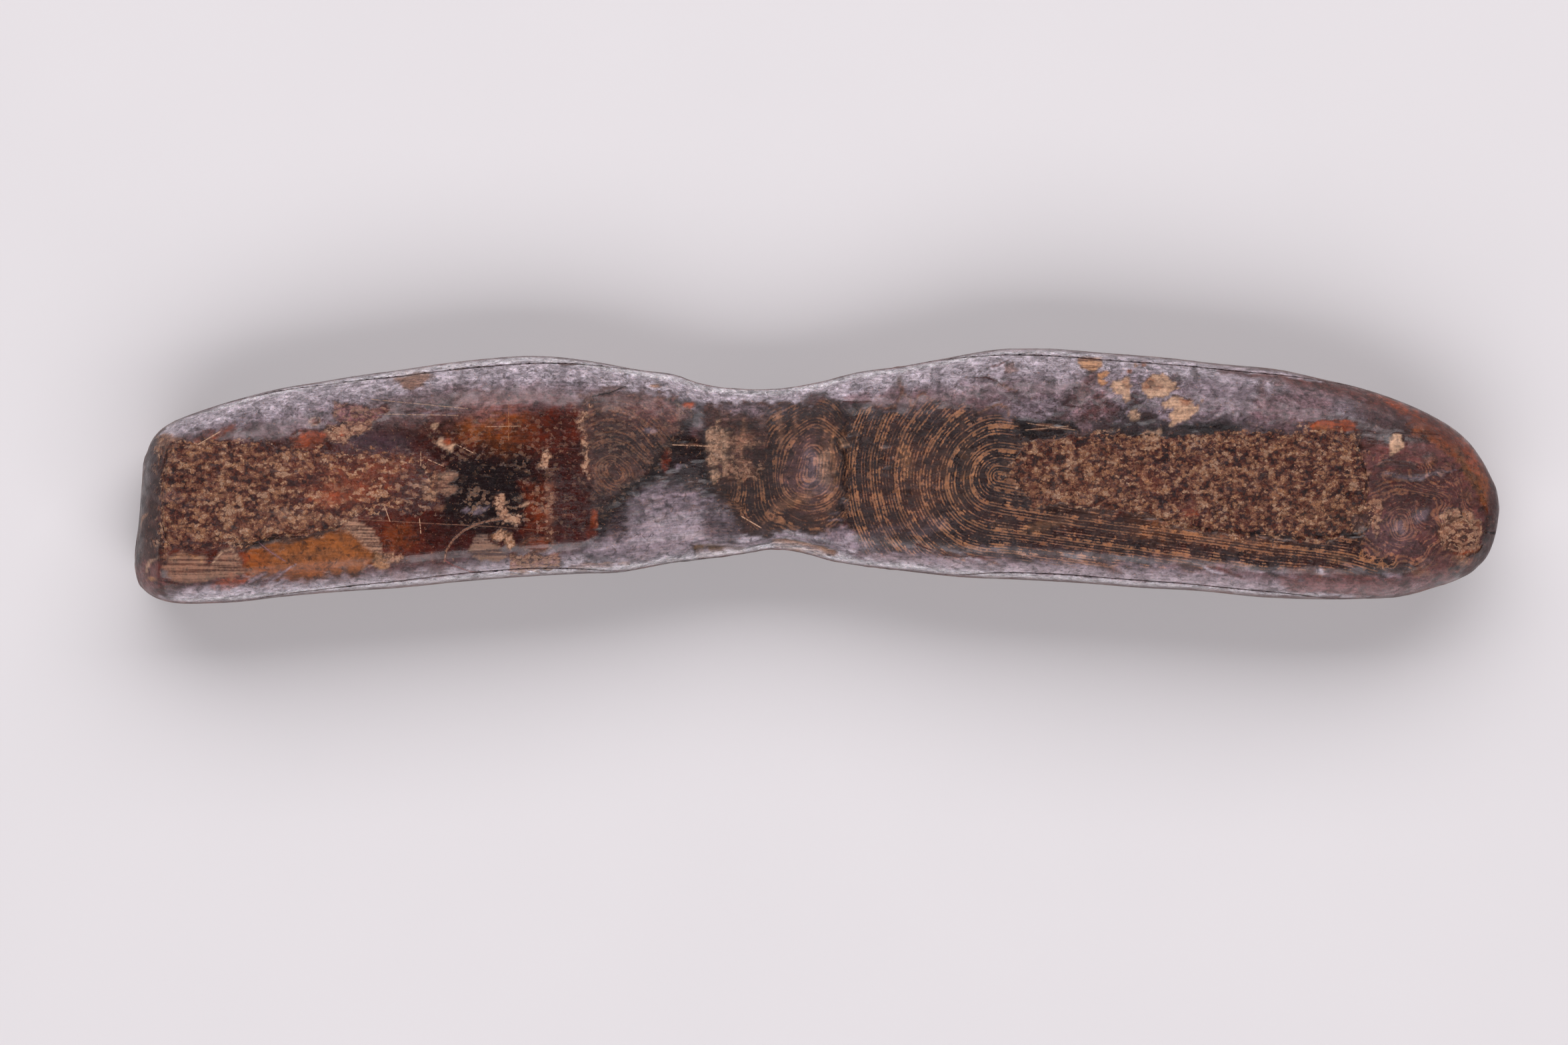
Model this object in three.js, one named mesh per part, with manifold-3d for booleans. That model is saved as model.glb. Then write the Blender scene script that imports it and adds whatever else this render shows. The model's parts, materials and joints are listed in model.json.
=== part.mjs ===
// A harpoon counterweight: a waisted bar carved lengthwise from one walrus tusk, with a squared
// end at -X and a rounded tip at +X. The tusk's own layers are its pieces. The dense dentine is
// the body of the bar. The nubbly core of the tusk lies bare in a trough along the upper face of
// each wing. What is left of the outer cementum wraps the back and the flanks of each wing, and
// the waist is cut through it. A stray nodule of core sits in a socket of its own near the tip.
import * as THREE from "three";
import { mergeVertices } from "three/addons/utils/BufferGeometryUtils.js";
import Module from "manifold-3d";

const wasm = await Module();
wasm.setup();

// Sizes in millimetres. X is 0 at the middle of the waist until the part is centred at the end,
// and a place across the bar is measured from the middle of the bar, which bows.
const LEFT_WING = 86.8; // waist to squared end
const RIGHT_WING = 102; // waist to tip
const LEFT_WIDTH = 30.8; // widest place of each wing, and the narrowest of the waist
const RIGHT_WIDTH = 32.6;
const WAIST_WIDTH = 22.6;
const SQUARE_END_WIDTH = 25;
const LEFT_FLARE = 34; // from the waist to where each wing is widest
const RIGHT_FLARE = 34;
const TIP_RUN = 29; // length of the elliptical tip
const LEFT_BOW = 6.4; // how far the tusk's natural curve drops each end towards -Y
const RIGHT_BOW = 6.2;
const BOW_START = 34; // the bar is straight to here on each side of the waist
const BOW_POWER = 1.6;

const LEFT_CROWN = 18; // height of each wing's upper face over the ground
const RIGHT_CROWN = 19;
const EQUATOR = 8.5; // height of the widest line of a section
const BELLY_FLAT = 0.8; // how much of the rounded back is rubbed flat to rest on
const FAR_SHOULDER = 8.5; // width over which the upper face rolls down to its +Y and -Y edges
const NEAR_SHOULDER = 5;
const TIP_CROWN_RUN = 34; // over these lengths the upper face and the back close at the tip
const TIP_BELLY_RUN = 30;
const TIP_POWER = 2.4;

const SEAT_LEVEL = 15.2; // flat floor of the waist, where the shaft is bound on
const SEAT_FROM = -8;
const SEAT_TO = 10.4;
const SEAT_SKIM = 0.7; // how much the flat takes off the rounded top of the waist
const RAMP_START = 5; // the ramps from the seat to the upper faces run from here to the next two
const LEFT_RAMP = 27;
const RIGHT_RAMP = 33;
const BACK_GROOVE = 3.2; // depth of the waist in the back, for the lashing
const GROOVE_START = 2; // its sides rise from here to there
const GROOVE_END = 25.5;

const CORNER_RADIUS = 4.5; // of the squared end, seen from above
const END_TAPER_POWER = 3;
const END_SKEW = THREE.MathUtils.degToRad(6);
const SKEW_RUN = 22; // the slant of the end fades out over this length
const BEVEL_RUN = 3.9; // bevel along the end's upper edge
const BEVEL_DROP = 5.2;
const HEEL_RISE = 2.2; // rounding of the end's lower edge

const RIND_BELLY = 1.6; // thickness of the cementum under the wings, and at their flanks
const RIND_FLANK = 1.1;
const RIND_LEVEL = 12; // height over which the dentine's sides stand upright

const SEAM = 0.3; // open seam between two layers
const CORE_RECESS = 0.4; // the softer core has worn down this far below the face

// Each end of a core: place along the bar, place across it, and height of the core's axis over
// the upper face there.
const LEFT_CORE = {
  from: { x: 3 - LEFT_WING, across: 2.2, rise: -1 },
  to: { x: 43 - LEFT_WING, across: -0.3, rise: 4.2 },
  halfWidth: 7.6,
  halfDepth: 4.8,
};
const RIGHT_CORE = {
  from: { x: RIGHT_WING - 72, across: -1.6, rise: 3.9 },
  to: { x: RIGHT_WING - 18.6, across: 2, rise: -1.6 },
  halfWidth: 7.6,
  halfDepth: 4.8,
};
const CORE_NOSE = 3.5; // length of each rounded end of a core

const NODULE = { x: RIGHT_WING - 5.8, across: -4, rise: -0.9, radii: [3.1, 2.4, 1.9] };

// Shallow dishes where flakes have come away: place along the bar, place across it as a share of
// its half-width, half-length and half-width of the dish, its depth, and its turn in degrees.
const SCARS = [
  { x: -14, share: -0.5, half: [9.8, 5], depth: 1.5, turn: -10 }, // smooth hollow by the waist
  { x: -6.7, share: -0.97, half: [3.9, 2.2], depth: 0.9, turn: 0 }, // broken edges of the waist
  { x: 5.6, share: -0.95, half: [4.4, 2.4], depth: 0.9, turn: 0 },
  { x: -72, share: -0.74, half: [3.4, 1.9], depth: 0.7, turn: 20 }, // scars of the left wing
  { x: -56.4, share: 0.56, half: [4.2, 2.8], depth: 0.6, turn: 12 },
  { x: -32.5, share: -0.87, half: [3.8, 1.7], depth: 0.6, turn: 4 },
  { x: 44.8, share: 0.88, half: [2.1, 1.3], depth: 0.5, turn: -8 }, // chips of the right wing
  { x: 48.9, share: 0.71, half: [1.9, 1.8], depth: 0.6, turn: 0 },
  { x: 54.2, share: 0.79, half: [2.6, 1.8], depth: 0.7, turn: -14 },
  { x: 57.4, share: 0.59, half: [2.4, 2.5], depth: 0.6, turn: 30 },
];
const SCAR_DEPTHS = 4; // a dish is part of an ellipsoid this many times as deep

const STATION_STEP = 3.8; // spacing of the sections along the bar
const CORNER_STATIONS = [0, 0.08, 0.3, 0.6]; // shares of the bevel at which its sections stand
const TIP_STATIONS = 9;
const RING = 36; // points round a section
const EDGE_CROWDING = 0.55; // draws those points towards the two edges
const CLEAR = 12; // how far a cutter reaches past what it cuts

const { clamp, lerp, smoothstep } = THREE.MathUtils;

// The tusk's curve, as the Y of the middle of the bar.
function middleY(x) {
  const [reach, bow] = x < 0 ? [LEFT_WING, LEFT_BOW] : [RIGHT_WING, RIGHT_BOW];
  const share = clamp((Math.abs(x) - BOW_START) / (reach - BOW_START), 0, 1);
  return -bow * share ** BOW_POWER;
}

// Half the width of the bar seen from above.
function halfWidth(x) {
  const waist = WAIST_WIDTH / 2;
  if (x >= 0) {
    const full = lerp(waist, RIGHT_WIDTH / 2, smoothstep(x, 0, RIGHT_FLARE));
    return full * rounding(x - (RIGHT_WING - TIP_RUN), TIP_RUN, 2);
  }
  const full = lerp(waist, LEFT_WIDTH / 2, smoothstep(-x, 0, LEFT_FLARE));
  const past = Math.max(0, -x - LEFT_FLARE) / (LEFT_WING - LEFT_FLARE);
  const narrowed = ((LEFT_WIDTH - SQUARE_END_WIDTH) / 2) * past ** END_TAPER_POWER;
  const corner = rounding(CORNER_RADIUS - LEFT_WING - x, CORNER_RADIUS, 2);
  return full - narrowed - CORNER_RADIUS * (1 - corner);
}

// Share that is left of a width or a height at a place on the way to a rounded end.
function rounding(along, run, power) {
  return Math.sqrt(1 - clamp(along / run, 0, 1) ** power);
}

// How far into the bevel of the squared end a place lies, from 0 to 1.
function bevelShare(x) {
  return clamp(1 - (LEFT_WING + x) / BEVEL_RUN, 0, 1);
}

// Height of the upper face along the middle of the bar.
function crownZ(x) {
  const [wing, ramp] = x < 0 ? [LEFT_CROWN, LEFT_RAMP] : [RIGHT_CROWN, RIGHT_RAMP];
  const rise = smoothstep(Math.abs(x), RAMP_START, ramp);
  const level = lerp(SEAT_LEVEL + SEAT_SKIM, wing, rise) - BEVEL_DROP * bevelShare(x);
  const tip = rounding(x - (RIGHT_WING - TIP_CROWN_RUN), TIP_CROWN_RUN, TIP_POWER);
  return EQUATOR + (level - EQUATOR) * tip;
}

// Height of the underside along the middle of the bar, before it is rubbed flat.
function bellyZ(x) {
  const groove = BACK_GROOVE * (1 - smoothstep(Math.abs(x), GROOVE_START, GROOVE_END));
  const tip = rounding(x - (RIGHT_WING - TIP_BELLY_RUN), TIP_BELLY_RUN, TIP_POWER);
  return EQUATOR - (EQUATOR + BELLY_FLAT - groove) * tip + HEEL_RISE * bevelShare(x) ** 2;
}

// A quarter-ellipse shoulder: 0 at the edge, 1 from `width` inwards.
function shoulder(inward, width) {
  return Math.sqrt(1 - (1 - clamp(inward / width, 0, 1)) ** 2);
}

// Height of the upper face at a place `across` the bar from its middle.
function faceZ(x, across) {
  const half = halfWidth(x);
  const far = shoulder(half - across, Math.min(FAR_SHOULDER, half));
  const near = shoulder(half + across, Math.min(NEAR_SHOULDER, half));
  return EQUATOR + (crownZ(x) - EQUATOR) * far * near;
}

// One section of the bar, as a ring of points that runs from the +Y edge over the top.
function barSection(x) {
  const half = halfWidth(x);
  const belly = EQUATOR - bellyZ(x);
  const slant = Math.tan(END_SKEW) * clamp(1 - (LEFT_WING + x) / SKEW_RUN, 0, 1);
  return Array.from({ length: RING }, (_, k) => {
    const turn = (2 * Math.PI * k) / RING;
    const angle = turn - (EDGE_CROWDING / 2) * Math.sin(2 * turn);
    const across = half * Math.cos(angle);
    const z = k <= RING / 2 ? faceZ(x, across) : EQUATOR + belly * Math.sin(angle);
    return new THREE.Vector3(x + slant * across, middleY(x) + across, z);
  });
}

// A point on the bar, over or under its upper face.
function placeOn({ x, across, rise }) {
  return new THREE.Vector3(x, middleY(x) + across, faceZ(x, across) + rise);
}

// One section of the space inside the cementum: a round bottom and upright sides, open upwards.
function dentineSection(x, inset) {
  const wing = x < 0 ? LEFT_WIDTH : RIGHT_WIDTH;
  const wide = wing / 2 - RIND_FLANK - inset;
  const deep = RIND_LEVEL - RIND_BELLY - inset;
  const middle = middleY(x);
  const bottom = new THREE.EllipseCurve(middle, RIND_LEVEL, wide, deep, Math.PI, 2 * Math.PI);
  const above = Math.max(LEFT_CROWN, RIGHT_CROWN) + CLEAR;
  const outline = [
    ...bottom.getPoints(RING / 2),
    new THREE.Vector2(middle + wide, above),
    new THREE.Vector2(middle - wide, above),
  ];
  return outline.map((p) => new THREE.Vector3(x, p.x, p.y));
}

// A closed skin over a row of rings, with a fan over each end.
function loft(rings) {
  const count = rings[0].length;
  const points = rings.flat();
  const faces = [];
  const last = (rings.length - 1) * count;
  rings.slice(1).forEach((_, i) => {
    for (let k = 0; k < count; k++) {
      const [a, b] = [i * count + k, i * count + ((k + 1) % count)];
      faces.push(a, b, b + count, a, b + count, a + count);
    }
  });
  const middleOf = (ring) =>
    ring.reduce((sum, p) => sum.add(p), new THREE.Vector3()).divideScalar(count);
  const [head, tail] = [points.length, points.length + 1];
  points.push(middleOf(rings[0]), middleOf(rings.at(-1)));
  for (let k = 0; k < count; k++) {
    const next = (k + 1) % count;
    faces.push(head, next, k, tail, last + k, last + next);
  }
  return new THREE.BufferGeometry().setFromPoints(points).setIndex(faces);
}

// An oval rod with rounded ends, lying broad side up, that the core of a wing is cut from.
function rod({ from, to, halfWidth: wide, halfDepth: deep }, grown = 0) {
  const [start, end] = [placeOn(from), placeOn(to)];
  const length = start.distanceTo(end) + 2 * grown;
  const heel = new THREE.EllipseCurve(0, CORE_NOSE, 1, CORE_NOSE, -Math.PI / 2, 0);
  const nose = new THREE.EllipseCurve(0, length - CORE_NOSE, 1, CORE_NOSE, 0, Math.PI / 2);
  const profile = [...heel.getPoints(6), ...nose.getPoints(6)];
  profile.at(0).x = 0;
  profile.at(-1).x = 0;
  const along = end.clone().sub(start).normalize();
  const side = new THREE.Vector3(0, 0, 1).cross(along).normalize();
  const up = side.clone().cross(along);
  return new THREE.LatheGeometry(profile, 28)
    .scale(wide + grown, 1, deep + grown)
    .applyMatrix4(new THREE.Matrix4().makeBasis(side, along, up))
    .translate(...start.addScaledVector(along, -grown).toArray());
}

// The rounded lump of core by the tip, and with `grown` the socket it sits in.
function nodule(grown = 0) {
  return new THREE.SphereGeometry(1, 20, 12)
    .scale(...NODULE.radii.map((radius) => radius + grown))
    .translate(...placeOn(NODULE).toArray());
}

function box(low, high) {
  const size = high.map((v, i) => v - low[i]);
  const middle = high.map((v, i) => (v + low[i]) / 2);
  return new THREE.BoxGeometry(...size).translate(...middle);
}

function solid(geometry) {
  const bare = geometry.index ? geometry.toNonIndexed() : geometry.clone();
  bare.deleteAttribute("normal");
  bare.deleteAttribute("uv");
  const merged = mergeVertices(bare, 1e-4);
  return new wasm.Manifold(
    new wasm.Mesh({
      numProp: 3,
      vertProperties: merged.attributes.position.array,
      triVerts: new Uint32Array(merged.index.array),
    }),
  );
}

function node(name, shape, finish) {
  const { numProp, vertProperties, triVerts } = shape.getMesh();
  const geometry = new THREE.BufferGeometry();
  geometry.setAttribute("position", new THREE.BufferAttribute(vertProperties, numProp));
  geometry.setIndex(new THREE.BufferAttribute(triVerts, 1));
  geometry.computeVertexNormals();
  const mesh = new THREE.Mesh(geometry, new THREE.MeshStandardMaterial(finish));
  mesh.name = name;
  return mesh;
}

// Places of the sections: even steps, closer over the tip and over the bevel of the end.
function barStations() {
  const bevelEnd = -LEFT_WING + BEVEL_RUN;
  const tipStart = RIGHT_WING - TIP_RUN;
  const steps = Math.round((tipStart - bevelEnd) / STATION_STEP);
  const corner = CORNER_STATIONS.map((share) => -LEFT_WING + share * BEVEL_RUN);
  const even = Array.from({ length: steps }, (_, i) => lerp(bevelEnd, tipStart, i / steps));
  const tip = Array.from({ length: TIP_STATIONS }, (_, i) => {
    const angle = (Math.PI / 2) * (i / (TIP_STATIONS - 0.7));
    return tipStart + TIP_RUN * Math.sin(angle);
  });
  return [...corner, ...even, ...tip];
}

// The carved outside of the whole bar, before the layers are told apart.
function carvedBar() {
  const out = LEFT_WIDTH + RIGHT_WIDTH;
  const [left, right] = [-LEFT_WING - CLEAR, RIGHT_WING + CLEAR];
  const ground = box([left, -out, -CLEAR], [right, out, 0]);
  const seat = box([SEAT_FROM, -out, SEAT_LEVEL], [SEAT_TO, out, SEAT_LEVEL + CLEAR]);
  return [ground, seat, ...SCARS.map(scarCutter)].reduce(
    (bar, cutter) => bar.subtract(solid(cutter)),
    solid(loft(barStations().map(barSection))),
  );
}

// The space that the dentine fills inside the cementum, along the whole bar and past its ends.
function insideRind(inset) {
  const places = [-LEFT_WING - CLEAR, -LEFT_WING, -SEAM, SEAM, RIGHT_WING, RIGHT_WING + CLEAR];
  const rings = places.slice(1).flatMap((to, i) => {
    const steps = Math.ceil((to - places[i]) / (2 * STATION_STEP));
    return Array.from({ length: steps }, (_, k) => lerp(places[i], to, (k + 1) / steps));
  });
  return solid(loft([places[0], ...rings].map((x) => dentineSection(x, inset))));
}

// A shallow dish that takes a flake off the upper face, square to it.
function scarCutter({ x, share, half, depth, turn }) {
  const dip = SCAR_DEPTHS * depth;
  const spread = Math.sqrt(1 - ((dip - depth) / dip) ** 2);
  const across = share * halfWidth(x);
  const step = 0.05;
  const along = placeOn({ x: x + step, across, rise: 0 }).sub(placeOn({ x, across, rise: 0 }));
  const aside = placeOn({ x, across: across + step, rise: 0 }).sub(placeOn({ x, across, rise: 0 }));
  const normal = along.cross(aside).normalize();
  const tilt = new THREE.Quaternion().setFromUnitVectors(new THREE.Vector3(0, 0, 1), normal);
  const middle = placeOn({ x, across, rise: 0 }).addScaledVector(normal, dip - depth);
  return new THREE.SphereGeometry(1, 20, 20)
    .rotateX(Math.PI / 2)
    .scale(half[0] / spread, half[1] / spread, dip)
    .rotateZ(THREE.MathUtils.degToRad(turn))
    .applyQuaternion(tilt)
    .translate(...middle.toArray());
}

// The largest of the bodies that a cut leaves.
function largest(shape) {
  return shape.decompose().reduce((a, b) => (b.volume() > a.volume() ? b : a));
}

const bar = carvedBar();
const wornBar = bar.translate(0, 0, -CORE_RECESS);
const hollows = [rod(LEFT_CORE, SEAM), rod(RIGHT_CORE, SEAM), nodule(SEAM)];
const dentine = hollows.reduce(
  (body, hollow) => body.subtract(solid(hollow)),
  bar.intersect(insideRind(SEAM)),
);
const rind = bar.subtract(insideRind(0));
const inWornBar = (geometry) => largest(solid(geometry).intersect(wornBar));
const rindBeyond = (side) => largest(rind.trimByPlane([side, 0, 0], SEAM / 2));

const DENTINE = { color: 0x3a1d12, roughness: 0.32, metalness: 0 };
const CORE = { color: 0x7a4a30, roughness: 0.65, metalness: 0 };
const CEMENTUM = { color: 0x57342a, roughness: 0.3, metalness: 0 };

const counterweight = new THREE.Group();
counterweight.add(
  node("dentine_body", largest(dentine), DENTINE),
  node("left_core", inWornBar(rod(LEFT_CORE)), CORE),
  node("right_core", inWornBar(rod(RIGHT_CORE)), CORE),
  node("core_nodule", inWornBar(nodule()), CORE),
  node("left_cementum", rindBeyond(-1), CEMENTUM),
  node("right_cementum", rindBeyond(1), CEMENTUM),
);
const middle = new THREE.Box3().setFromObject(counterweight).getCenter(new THREE.Vector3());
counterweight.position.set(-middle.x, -middle.y, 0);

export default counterweight;
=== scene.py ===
"""Looks of a harpoon counterweight carved from an old walrus tusk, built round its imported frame.

The bar lies on its rounded back with the carved face up. Places on that face are given in pixels
of the photograph and are turned into millimetres of the frame by the Photograph class. Heights,
depths and widths of relief are in millimetres.
"""

from __future__ import annotations

import json
import logging
import math
from dataclasses import dataclass, field
from enum import Enum
from typing import Any, Sequence

import bpy
import numpy as np
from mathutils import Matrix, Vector

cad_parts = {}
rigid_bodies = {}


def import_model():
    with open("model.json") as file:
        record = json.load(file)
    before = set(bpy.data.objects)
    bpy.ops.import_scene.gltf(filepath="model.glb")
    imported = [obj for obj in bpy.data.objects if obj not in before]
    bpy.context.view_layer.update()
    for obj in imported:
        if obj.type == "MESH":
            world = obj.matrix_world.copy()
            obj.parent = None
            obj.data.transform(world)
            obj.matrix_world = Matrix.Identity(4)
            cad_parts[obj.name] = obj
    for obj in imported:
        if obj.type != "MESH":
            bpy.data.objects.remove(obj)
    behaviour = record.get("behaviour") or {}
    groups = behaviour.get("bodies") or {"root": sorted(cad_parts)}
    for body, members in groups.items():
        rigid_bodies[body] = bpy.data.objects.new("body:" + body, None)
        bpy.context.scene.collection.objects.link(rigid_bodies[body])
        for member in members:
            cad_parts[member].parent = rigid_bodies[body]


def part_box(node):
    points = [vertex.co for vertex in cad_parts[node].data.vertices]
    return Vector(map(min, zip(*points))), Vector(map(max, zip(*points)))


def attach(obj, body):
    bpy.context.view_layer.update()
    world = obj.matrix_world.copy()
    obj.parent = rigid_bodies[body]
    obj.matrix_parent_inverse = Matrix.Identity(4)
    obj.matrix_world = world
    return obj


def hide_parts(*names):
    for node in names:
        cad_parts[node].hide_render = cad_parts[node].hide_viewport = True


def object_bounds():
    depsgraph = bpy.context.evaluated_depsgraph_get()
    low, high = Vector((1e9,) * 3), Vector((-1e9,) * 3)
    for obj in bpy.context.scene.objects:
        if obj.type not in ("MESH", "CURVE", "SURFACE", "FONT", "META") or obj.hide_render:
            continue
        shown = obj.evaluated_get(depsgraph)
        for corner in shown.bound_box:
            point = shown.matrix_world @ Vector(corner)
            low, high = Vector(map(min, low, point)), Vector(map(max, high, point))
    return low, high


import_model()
CAD_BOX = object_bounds()

LOG = logging.getLogger("counterweight")
MM = 0.001
BODY = "root"
# The constant below darkens the colour along the sloping edge of every mark that stands proud or lies deep.
EDGE_DARKENING = 0.6  # how dark dirt makes the edge of a mark that stands proud or lies deep
SCRAMBLE = (np.uint32(2654435769), np.uint32(2246822519))  # odd factors that mix a cell's bits

Points = Sequence[tuple[float, float]]
Array = np.ndarray


def ramp(value: Array, low: float, high: float) -> Array:
    """Smooth step of a value.

    Args:
        value: The numbers to step.
        low: Where the step starts; it may be above high, for a falling step.
        high: Where the step ends.

    Returns:
        0 at low and 1 at high, with a smooth rise between.
    """
    share = np.clip((value - low) / (high - low), 0.0, 1.0)
    return share * share * (3.0 - 2.0 * share)


def curve_through(points: Points, at: Array) -> Array:
    """Value of a smooth curve through a few points.

    Args:
        points: Places and values, in rising order of place.
        at: The places to look up.

    Returns:
        The curve's values, flat beyond its first and last point.
    """
    places, values = (np.array(row, float) for row in zip(*points))
    rises = np.diff(values) / np.diff(places)
    slopes = np.concatenate([rises[:1], (rises[:-1] + rises[1:]) / 2, rises[-1:]])
    at = np.clip(at, places[0], places[-1])
    left = np.clip(np.searchsorted(places, at, side="right") - 1, 0, len(places) - 2)
    width = places[left + 1] - places[left]
    t = (at - places[left]) / width
    return (
        values[left] * (1 + 2 * t) * (1 - t) ** 2
        + slopes[left] * width * t * (1 - t) ** 2
        + values[left + 1] * t * t * (3 - 2 * t)
        - slopes[left + 1] * width * t * t * (1 - t)
    )


def linear(code: str) -> tuple[float, float, float]:
    """Linear colour of a code of six hex digits, which is red, green and blue as on a screen."""
    parts = [int(code[i : i + 2], 16) / 255 for i in (0, 2, 4)]
    return tuple(p / 12.92 if p <= 0.04045 else ((p + 0.055) / 1.055) ** 2.4 for p in parts)


@dataclass(frozen=True)
class Photograph:
    """The photographed face laid over the frame: pixels of the object's own box, and the box."""

    left: float = 202.0
    right: float = 2249.0
    top: float = 523.0
    bottom: float = 906.0
    width: float = 2352.0
    height: float = 1568.0

    @property
    def scale(self) -> float:
        """Millimetres to a pixel."""
        return (CAD_BOX[1].x - CAD_BOX[0].x) / MM / (self.right - self.left)

    def x_mm(self, px: Any) -> Any:
        """Frame X in millimetres of a pixel column."""
        return (px - (self.left + self.right) / 2) * self.scale

    def y_mm(self, py: Any) -> Any:
        """Frame Y in millimetres of a pixel row."""
        return ((self.top + self.bottom) / 2 - py) * self.scale

    def px(self, x_mm: Array) -> Array:
        """Pixel column of a frame X in millimetres."""
        return x_mm / self.scale + (self.left + self.right) / 2

    def py(self, y_mm: Array) -> Array:
        """Pixel row of a frame Y in millimetres."""
        return (self.top + self.bottom) / 2 - y_mm / self.scale


PHOTO = Photograph()


class Noise:
    """Seeded noise on numpy arrays, the same on every run."""

    def __init__(self, seed: int) -> None:
        """Keeps the seed."""
        self.seed = np.uint32(seed * 7919 + 17)

    def draw(self, cells: Sequence[Array], salt: int = 0) -> Array:
        """Random number from 0 to 1 for each lattice cell.

        Args:
            cells: Whole-number coordinates of the cells.
            salt: Picks one of several independent numbers.

        Returns:
            One number for each cell.
        """
        mixed = np.full(cells[0].shape, self.seed + np.uint32(salt * 131), np.uint32)
        for cell in cells:
            mixed = mixed ^ (cell.astype(np.int64).astype(np.uint32) * SCRAMBLE[0])
            mixed = mixed * SCRAMBLE[1]
            mixed = mixed ^ (mixed >> np.uint32(15))
        return mixed / 2.0**32

    def smooth(self, *places: Array) -> Array:
        """Smooth noise from -1 to 1, with one lump to a unit.

        Args:
            *places: Two or three coordinates, in units of a lump.

        Returns:
            The noise at each place.
        """
        low = [np.floor(p) for p in places]
        share = [p - q for p, q in zip(places, low)]
        share = [s * s * s * (s * (s * 6 - 15) + 10) for s in share]
        total = np.zeros(places[0].shape)
        for corner in range(2 ** len(places)):
            bits = [(corner >> i) & 1 for i in range(len(places))]
            weight = np.ones(places[0].shape)
            for bit, s in zip(bits, share):
                weight = weight * (s if bit else 1 - s)
            total += weight * self.draw([q + bit for q, bit in zip(low, bits)])
        return total * 2 - 1

    def rough(self, octaves: int, *places: Array) -> Array:
        """Noise with finer lumps on its lumps.

        Args:
            octaves: How many sizes of lump.
            *places: Coordinates, in units of the largest lump.

        Returns:
            The noise at each place, about -1 to 1.
        """
        total = np.zeros(places[0].shape)
        for octave in range(octaves):
            total += self.smooth(*(p * 2.0**octave + 19.7 * octave for p in places)) / 2**octave
        return total

    def cells(self, u: Array, v: Array) -> tuple[Array, Array, Array]:
        """Scattered points, about one to a square unit.

        Args:
            u: First coordinate, in units of a cell.
            v: Second coordinate.

        Returns:
            Distance to the nearest point, distance to the next one, and a random number that is
            the nearest point's own.
        """
        cell_u, cell_v = np.floor(u), np.floor(v)
        nearest, second = np.full(u.shape, 9.0), np.full(u.shape, 9.0)
        owner = np.zeros(u.shape)
        for du in (-1, 0, 1):
            for dv in (-1, 0, 1):
                spot = (cell_u + du, cell_v + dv)
                away = np.hypot(
                    spot[0] + self.draw(spot, 1) - u,
                    spot[1] + self.draw(spot, 2) - v,
                )
                closer = away < nearest
                second = np.where(closer, nearest, np.minimum(second, away))
                owner = np.where(closer, self.draw(spot, 3), owner)
                nearest = np.where(closer, away, nearest)
        return nearest, second, owner


class Swatch(Enum):
    """Colours of the old ivory's stains, and of the sheen and highlights painted on it, mostly in lilac,
    mauve, pale and white.
    """

    BLACK = "180f11"
    SOOT = "2b1c1e"
    UMBER = "361a12"
    OXBLOOD = "42120c"
    RUSSET = "642412"
    CHESTNUT = "76361f"
    FLAME = "a5481c"
    AMBER = "9a501e"
    HONEY = "9c5a2a"
    GOLD = "cc9060"
    CREAM = "e2b694"
    BUFF = "aa785c"
    TAN = "8c5841"
    OLIVE = "785838"
    TAUPE = "623f37"
    MAUVE = "8c666b"
    LILAC = "a5929c"
    SLATE = "503e46"
    ROSE = "8a504c"
    PALE = "dccfd8"
    WHITE = "f6f0f4"


BLACK, SOOT, UMBER, OXBLOOD, RUSSET, CHESTNUT, FLAME, AMBER, HONEY, GOLD, CREAM = list(Swatch)[:11]
BUFF, TAN, OLIVE, TAUPE, MAUVE, LILAC, SLATE, ROSE, PALE, WHITE = list(Swatch)[11:]


class Layer(Enum):
    """What marks set on the face besides its colour, each kept as an attribute of the mesh."""

    GRAIN = "grain"
    LINES = "lines"
    CHIP = "chip"
    SPECK = "speck"
    DULL = "dull"
    DENTS = "dents"
    RIPPLE = "ripple"


GRAIN, LINES, CHIP, SPECK, DULL, DENTS, RIPPLE = Layer


@dataclass
class Canvas:
    """The carved face while marks are laid on it: where it is, its height, its colour, which holds the
    stains and the painted sheen, highlights and shade, and layers.
    """

    u: Array
    v: Array
    rise: Array = field(init=False)
    stain: Array = field(init=False)
    phase: Array = field(init=False)
    layers: dict[Layer, Array] = field(init=False)

    def __post_init__(self) -> None:
        """Starts with a bare dark surface."""
        self.rise = np.zeros(self.u.shape)
        self.phase = np.zeros(self.u.shape)
        self.stain = np.broadcast_to(linear(UMBER.value), (*self.u.shape, 3)).copy()
        self.layers = {layer: np.zeros(self.u.shape) for layer in Layer}


def box_round(points: Points, margin: float) -> tuple[float, float, float, float]:
    """Least and greatest column, then least and greatest row, of points with a margin."""
    columns, rows = zip(*points)
    return min(columns) - margin, max(columns) + margin, min(rows) - margin, max(rows) + margin


def to_segment(
    u: Array, v: Array, start: tuple[float, float], end: tuple[float, float]
) -> tuple[Array, Array]:
    """Where places lie beside a straight segment.

    Args:
        u: Pixel columns of the places.
        v: Their pixel rows.
        start: Where the segment starts.
        end: Where it ends.

    Returns:
        How far along it the nearest point is, from 0 to 1, and how many pixels away.
    """
    (x0, y0), (x1, y1) = start, end
    along, across = x1 - x0, y1 - y0
    share = ((u - x0) * along + (v - y0) * across) / max(along**2 + across**2, 1e-6)
    share = np.clip(share, 0, 1)
    return share, np.hypot(u - x0 - share * along, v - y0 - share * across)


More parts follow.
